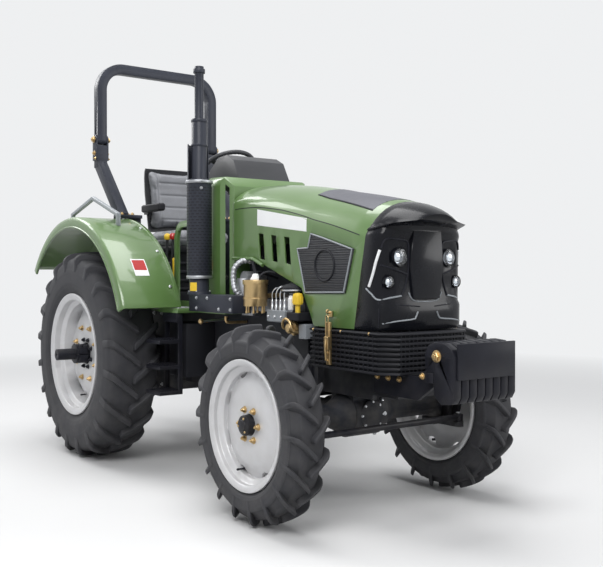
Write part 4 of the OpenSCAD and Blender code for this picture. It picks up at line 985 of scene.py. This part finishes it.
# Hood latches: hook on the hood, spring loop and lever below
LATCH_X = NOSE_X - 0.170
LOOP_Y, LOOP_HALF = 0.3165, 0.011
hook, latch = Shape(), Shape()
for s in (-1, 1):
    hook.box((LATCH_X - 0.013, s * 0.286, 1.034), (LATCH_X + 0.013, s * 0.300, 1.066), 0.004)
    hook.pipe([(LATCH_X, s * y, z) for y, z in (
        (0.298, 1.056), (0.314, 1.056), (0.319, 1.064), (0.314, 1.071), (0.306, 1.070))], 0.0045, 10, curve=6)
    bow = [(LOOP_HALF * math.cos(a), 1.030 + 0.013 * math.sin(a)) for a in np.linspace(0, math.pi, 13)]
    loop = [(LOOP_HALF, 0.930)] + bow + [(-LOOP_HALF, 0.930)]
    latch.pipe([(LATCH_X + x, s * LOOP_Y, z) for x, z in loop], 0.0032, 10)
    latch.box((LATCH_X - 0.017, s * 0.309, 0.868), (LATCH_X + 0.017, s * 0.326, 0.934), 0.004)
    lever = smooth_line([(LATCH_X, s * 0.322, 0.925), (LATCH_X + 0.002, s * 0.330, 0.880),
                         (LATCH_X + 0.004, s * 0.327, 0.815)], 8)
    latch.pipe(lever, np.linspace(0.008, 0.0055, len(lever)), 10)
    for z in (0.812, 0.850):
        latch.bolt((LATCH_X - 0.004, s * 0.310, z), (0, s, 0), 0.006, 0.004, stud=0)
hook.make("hood_latch_hooks", [GOLD], "hood", "brass")
latch.make("hood_latch_levers", [GOLD], "chassis", "brass")

# Front end: weight pin, bracket bolts, guard screws
PIN_X, PIN_Z = 1.869, 0.880
front = Shape()
front.pipe([(PIN_X, y, PIN_Z) for y in (-0.222, 0.222)], 0.012, 16)
for s in (-1, 1):
    out = (0, s, 0)
    front.bolt((PIN_X, s * 0.206, PIN_Z), out, 0.021, 0.014, slot=1)
    for x, z in ((1.42, 0.745), (1.50, 0.745), (1.58, 0.745), (1.74, 0.775)):
        front.bolt((x, s * 0.172, z), out, 0.012, 0.010, slot=1)
    for x in (1.05, 1.28, 1.50):
        front.bolt((x, s * 0.298, 0.966), out, 0.0055, 0.004, slot=1, stud=0)
front.make("front_end_bolts", [STEEL, GOLD], "chassis", "bright_steel")

# Lower guard: rim wire, and upright bars that leave out the latches
GUARD_Z0, GUARD_Z1, BAR_HALF = 0.778, 0.962, 0.0018
guard = Shape()
half_rim = [(1.020, 0.2985), (1.560, 0.2985), (1.640, 0.2225), (1.653, 0.0)]
rim = [(x, -y) for x, y in half_rim] + half_rim[-2::-1]
guard.pipe([(x, y, 0.9655) for x, y in rim], 0.0048, 8)


def guard_bar(u0, u1, at, axes):
    outline = [(u0, GUARD_Z0), (u1, GUARD_Z0), (u1, GUARD_Z1), (u0, GUARD_Z1)]
    guard.put(*slab(outline, at - BAR_HALF, at + BAR_HALF, axes))


for k in range(18):
    y = -0.213 + 0.0251 * k
    x = 1.653 - 0.013 * abs(y) / 0.222 - 0.002
    guard_bar(x - 0.006, x + 0.001, y, "xz")
for s in (-1, 1):
    for k in range(14):
        x = 1.06 + 0.036 * k
        if abs(x - LATCH_X) > 0.03:
            guard_bar(s * 0.292, s * 0.2985, x, "yz")
guard.make("guard_mesh_bars", [MATT_BLACK], "chassis", "grille_black")

# Kingpin caps with screws, and the tie rod's nut
KING_Y = 0.560
for side, s in SIDES:
    king = Shape()
    for z, up in ((0.608, 1), (0.396, -1)):
        king.turn(mm([(44, -1), (44, 6), (40, 10), (22, 11), (18, 16), (3, 17)]), (FRONT.x, s * KING_Y, z),
                  (0, 0, up), 32, 0)
        for c, q in circle(0.034, 4, 45):
            king.bolt((FRONT.x + c, s * KING_Y + q, z + up * 0.008), (0, 0, up), 0.006, 0.005, washer=False,
                      slot=1, stud=0)
    king.turn(mm([(13.5, 0), (13.5, 4), (10, 6), (3, 6.5)]), (FRONT.x + 0.210, s * KING_Y, 0.472), UPWARD, 20,
              1)
    king.make("kingpin_caps_" + side, [CASTING, STEEL], "knuckle_" + side, "chassis_black")

# Front axle: bolts around the housing, cover ahead of it
axle = Shape()
for c, q in circle(1.0, 10):
    axle.bolt((FRONT.x + 0.126 * c, 0.085, FRONT.z + 0.126 * q), (c, 0, q), 0.008, 0.006, stud=0)
axle.turn(mm([(62, 0), (80, 2), (80, 16), (70, 20), (30, 24), (4, 25)]), (FRONT.x + 0.108, 0, FRONT.z), AHEAD,
          40, 1)
for c, q in circle(0.070, 8):
    axle.bolt((FRONT.x + 0.124, q, FRONT.z + c), AHEAD, 0.006, 0.005, stud=0)
axle.make("front_axle_cover", [STEEL, CASTING], "chassis", "chassis_black")

# Rear: pin collars, turnbuckles, bolts of the rear housing
SMALL_COLLAR = mm([(13, 0), (24, 1), (24, 5), (13, 6), (13, 9), (6, 11)])
LARGE_COLLAR = mm([(17, 0), (32, 1), (32, 6), (17, 7), (17, 10), (8, 12)])
links, rods, lift, rear = Shape(), Shape(), Shape(), Shape()
for s in (-1, 1):
    out = (0, s, 0)
    links.turn(SMALL_COLLAR, (-1.589, s * 0.379, 0.458), out, 24)
    lift.turn(SMALL_COLLAR, (-1.704, s * 0.379, 1.048), out, 24)
    rods.turn(mm([(19, -55), (24, -50), (24, 50), (19, 55)]), (-1.6465, s * 0.355, 0.753), (0.115, 0, -0.59),
              6)
    rear.turn(LARGE_COLLAR, (-1.290, s * 0.271, 0.480), out, 24)
    for x in (-1.345, -1.240, -1.120, -1.000, -0.880, -0.790):
        for z in (0.470, 0.975):
            rear.bolt((x, s * 0.210, z), out, 0.010, 0.008)
    for z in (1.010, 1.105):
        for y in (0.06, 0.165):
            rear.bolt((-1.465, s * y, z), BACKWARD, 0.010, 0.008)
    for c, q in circle(0.084, 8, 22.5):
        rear.bolt((REAR.x + c, s * 0.4285, REAR.z + q), out, 0.006, 0.001, washer=False, stud=0)
links.make("lower_link_collars", [STEEL], "lower_links", "bright_steel")
rods.make("lift_rod_turnbuckles", [GOLD], "lift_rods", "brass", sharp=25)
lift.make("lift_arm_collars", [STEEL], "rockshaft", "bright_steel")
rear.make("rear_housing_bolts", [STEEL], "chassis", "bright_steel")

# Power take-off: ribs of the stub
spline = Shape()
for c, q in circle(0.0172, 6):
    spline.pipe([(x, c, 0.640 + q) for x in (-1.484, -1.408)], 0.0030, 8)
spline.make("power_take_off_ribs", [STEEL], "pto_shaft", "bright_steel", sharp=40)

# Tank and battery box: filler cap, and straps as X, inner and outer Y, and top
STRAPS = ((-0.420, 0.168, 0.402, 0.962), (-0.230, 0.168, 0.402, 0.962), (-0.230, -0.402, -0.168, 0.942))
STRAP_LOW, STRAP_T, STRAP_HALF = 0.598, 0.003, 0.012
tank = Shape()
tank.turn(mm([(34, 0), (36, 4), (36, 22), (30, 28), (4, 29)]), (-0.420, 0.300, 0.960), UPWARD, 32)
strap_faces = [(a + i, a + (i + 1) % 4, b + (i + 1) % 4, b + i)
               for a, b in ((0, 8), (4, 12), (0, 4), (8, 12)) for i in range(4)]
for x, lo, hi, top in STRAPS:
    points = [(x + dx, y, z) for dx in (-STRAP_HALF, STRAP_HALF) for t in (0, STRAP_T)
              for y, z in ((lo + t, STRAP_LOW + t), (hi - t, STRAP_LOW + t), (hi - t, top - t),
                           (lo + t, top - t))]
    tank.put(points, strap_faces, 1)
tank.make("tank_straps", [MATT_BLACK, BLACK_STEEL], "chassis", "dark_plastic")


# Seat: cushion and back swelled by a cloth simulation
def at_seat(outline):
    """Outline in millimetres, X from the seat's rail, in its place."""
    return [(SEAT_X + x, z) for x, z in mm(outline)]


def loop_solid(outline, half, inset, round_r=0.035, steps=6):
    """Closed form from a side outline: pulled in by inset, with ends rounded across."""
    pts = np.array(outline, float)
    mid = pts.mean(0)
    span = pts.max(0) - pts.min(0)
    points = []
    for k in range(2 * steps + 2):
        sign, t = (1, (k - steps - 1) / steps) if k > steps else (-1, 1 - k / steps)
        shrink = round_r * (1 - math.cos(t * math.pi / 2))
        y = (half - inset - round_r + round_r * math.sin(t * math.pi / 2)) * sign
        row = mid + (pts - mid) * (1 - 2 * (inset + shrink) / span)
        points += [(x, y, z) for x, z in row]
    return points, capped(2 * steps + 2, len(pts))


def evaluated(obj):
    mesh = bpy.data.meshes.new_from_object(obj.evaluated_get(bpy.context.evaluated_depsgraph_get()))
    obj.modifiers.clear()
    obj.data = mesh
    return np.array([v.co for v in mesh.vertices])


def swell(obj, start, cap):
    """Points after twenty frames of cloth under pressure, each moved by no more than the cap."""
    cloth = obj.modifiers.new("cloth", "CLOTH")
    cloth.settings.quality = 4
    cloth.settings.tension_stiffness = 12
    cloth.settings.compression_stiffness = 12
    cloth.settings.use_pressure = True
    cloth.settings.uniform_pressure_force = 4
    cloth.settings.effector_weights.gravity = 0
    for f in range(1, 21):
        scene.frame_set(f)
    move = evaluated(obj) - start
    scene.frame_set(1)
    size = np.linalg.norm(move, axis=1)[:, None]
    return start + move * np.minimum(1, cap / np.maximum(size, 1e-9))


def pad(name, profile, half, groove, low):
    """Padded piece from a profile in millimetres: remeshed, swelled, sewn along grooves, kept in its box."""
    outline = at_seat(profile)
    points, faces = loop_solid(outline, half, 0.014)
    mesh = bpy.data.meshes.new(name)
    mesh.from_pydata(points, [], faces)
    obj = placed(name, mesh)
    remesh = obj.modifiers.new("remesh", "REMESH")
    remesh.mode = "VOXEL"
    remesh.voxel_size = 0.006
    at = evaluated(obj)
    at = swell(obj, at, 0.024)
    mesh = obj.data
    mesh.vertices.foreach_set("co", at.ravel())
    mesh.update()
    normals = np.array([v.normal for v in mesh.vertices])
    at = at - normals * groove(at, normals)[:, None]
    (x0, _), (x1, top) = np.min(outline, 0), np.max(outline, 0)
    at = np.clip(at, (x0, -half, low), (x1, half, top))
    mesh.vertices.foreach_set("co", at.ravel())
    mesh.update()
    mesh.materials.clear()
    mesh.materials.append(VINYL)
    mesh.polygons.foreach_set("material_index", [0] * len(mesh.polygons))
    mesh.shade_smooth()
    smooth = obj.modifiers.new("smooth", "SMOOTH")
    smooth.factor = 0.5
    smooth.iterations = 2
    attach(obj, "chassis")
    return obj


def cut(d, depth, width):
    return depth * np.exp(-(d / width) ** 2)


def sewn(along, across, lines, half, depth):
    """Seams across the middle at the given lines, and one along each side."""
    rows = sum(cut(along - at, 0.008, 0.007) for at in lines) * (across < half - 0.002)
    return np.maximum(rows, cut(across - half, depth, 0.008))


def cushion_groove(p, n):
    up = np.clip(n[:, 2], 0, 1)
    across = np.abs(p[:, 1])
    g = sewn(p[:, 0], across, [SEAT_X + x for x in (0.150, 0.250, 0.350)], 0.152, 0.011)
    welt = cut(p[:, 2] - 1.500, 0.006, 0.005) * (np.abs(n[:, 2]) < 0.7)
    return g * up + welt - 0.010 * up * np.clip((across - 0.16) / 0.06, 0, 1)


def back_groove(p, n):
    ahead = np.clip(n[:, 0], 0, 1)
    across = np.abs(p[:, 1])
    g = sewn(p[:, 2], across, (1.655, 1.745, 1.835, 1.925), 0.132, 0.010)
    return g * ahead - 0.008 * ahead * np.clip((across - 0.14) / 0.05, 0, 1)


# Side outlines in millimetres, X from the seat's rail
CUSHION = [(40, 1452), (440, 1452), (458, 1466), (465, 1490), (462, 1525), (445, 1550), (415, 1562),
           (340, 1560), (200, 1552), (95, 1552), (40, 1560)]
BACK = [(60, 1566), (14, 1566), (-48, 1850), (-56, 1960), (-54, 2008), (-42, 2028), (-26, 2032), (-10, 2018),
        (4, 1960), (10, 1880), (60, 1680), (80, 1600)]
SHELL = [(0, 1562), (-62, 1850), (-70, 1960), (-66, 2010), (-50, 2034), (-40, 2030), (-53, 2004), (-57, 1958),
         (-48, 1850), (16, 1562)]
ARM = [(-30, 1690), (20, 1690), (60, 1712), (60, 1745), (-36, 1745)]
BELLOWS = [(22, -158), (393, -158), (393, 158), (22, 158)]
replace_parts(pad("seat_cushion_pad", CUSHION, 0.240, cushion_groove, 1.4525), "seat_cushion")
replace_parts(pad("seat_back_pad", BACK, 0.214, back_groove, 1.566), "seat_back")

# Seat shell, armrests and bellows
arms = Shape()
arms.put(*slab(at_seat(SHELL), -0.205, 0.205))
for s in (-1, 1):
    arms.box((SEAT_X + 0.016, s * 0.218, 1.7005), (SEAT_X + 0.314, s * 0.274, 1.7545), 0.020, 1, steps=6)
    arms.put(*slab(at_seat(ARM), s * 0.205, s * 0.224))
    arms.bolt((SEAT_X + 0.004, s * 0.224, 1.718), (0, s, 0), 0.010, 0.006, slot=2, stud=0)
for k in range(4):
    fold = [(x, y, 1.150 + 0.060 * k) for x, y in edge_line(at_seat(BELLOWS), 0.03)]
    arms.pipe(fold, 0.012, 10, 1, closed=True)
arms.make("seat_shell_and_arms", [PLASTIC, MATT_BLACK, STEEL], "chassis", "dark_plastic", bevel=0.002)


# Camera at the photograph's viewpoint
def aim(obj, at, direction):
    obj.location = at
    obj.rotation_mode = "QUATERNION"
    obj.rotation_quaternion = direction.to_track_quat("-Z", "Y")


TARGET, DISTANCE = Vector((0.5264, 0.0, 1.1987)), 5.171
AZIMUTH, ELEVATION = math.radians(54.288), math.radians(0.650)
flat = math.cos(ELEVATION)
away = Vector((math.sin(AZIMUTH) * flat, -math.cos(AZIMUTH) * flat, math.sin(ELEVATION)))
cam_data = bpy.data.cameras.new("camera")
cam_data.sensor_width = 36.0
cam_data.lens = 51.90
cam = placed("camera", cam_data)
aim(cam, TARGET + away * DISTANCE, -away)
scene.camera = cam


# Floor, soft lamps and an even sky
def seen_rays(tree):
    """1 for rays of the camera, in mirrors and through glass, which all see the pale background."""
    path = add(tree, "LightPath")
    factor = path.outputs["Is Camera Ray"]
    for ray in ("Is Glossy Ray", "Is Transmission Ray"):
        factor = combined(tree, "MAXIMUM", factor, path.outputs[ray])
    return factor


REACH = 40
floor_mesh = bpy.data.meshes.new("floor")
corners = [(x, y, 0) for x, y in ((-REACH, -REACH), (REACH, -REACH), (REACH, REACH), (-REACH, REACH))]
floor_mesh.from_pydata(corners, [], [(0, 1, 2, 3)])
floor = placed("floor", floor_mesh)
floor_mat, tree, bsdf = material("pale_floor", {"Roughness": 0.85})
v = coords(tree)
tone = mixed(tree, noise(tree, v, 0.8), (0.60, 0.60, 0.60), (0.63, 0.63, 0.63))
tree.links.new(tone, bsdf.inputs["Base Color"])
far = add(tree, "VectorMath", operation="LENGTH")
tree.links.new(v, far.inputs[0])
seen = combined(tree, "MULTIPLY", mapped(tree, far.outputs["Value"], 3.2, 9.0), seen_rays(tree))
glow = add(tree, "Emission", {"Color": PALE})
fade = blended(tree, seen, bsdf.outputs[0], glow.outputs[0])
tree.links.new(fade, tree.nodes["Material Output"].inputs["Surface"])
floor.data.materials.append(floor_mat)

world = bpy.data.worlds.new("sky")
scene.world = world
world.use_nodes = True
tree = world.node_tree
tree.nodes.clear()
sky_light = add(tree, "Background", {"Color": (0.90, 0.92, 0.96, 1), "Strength": 0.42})
sky_seen = add(tree, "Background", {"Color": PALE, "Strength": 1.0})
sky = blended(tree, seen_rays(tree), sky_light.outputs[0], sky_seen.outputs[0])
tree.links.new(sky, add(tree, "OutputWorld").inputs["Surface"])


def lamp(name, at, to, size, power):
    light = bpy.data.lights.new(name, "AREA")
    light.shape = "RECTANGLE"
    light.size, light.size_y = size
    light.energy = power
    aim(placed(name, light), at, Vector(to) - Vector(at))


lamp("key", (4.5, -4.5, 6.0), (0.3, 0, 0.9), (4.0, 3.0), 390)
lamp("fill", (5.5, 4.5, 3.5), (0.6, 0, 0.9), (3.0, 3.0), 155)
lamp("back", (-5.0, -2.0, 5.0), (-0.3, 0, 1.2), (3.0, 3.0), 210)
lamp("top", (0.3, 0.0, 7.0), (0.3, 0, 0), (5.0, 3.0), 300)

scene.view_settings.view_transform = "Standard"
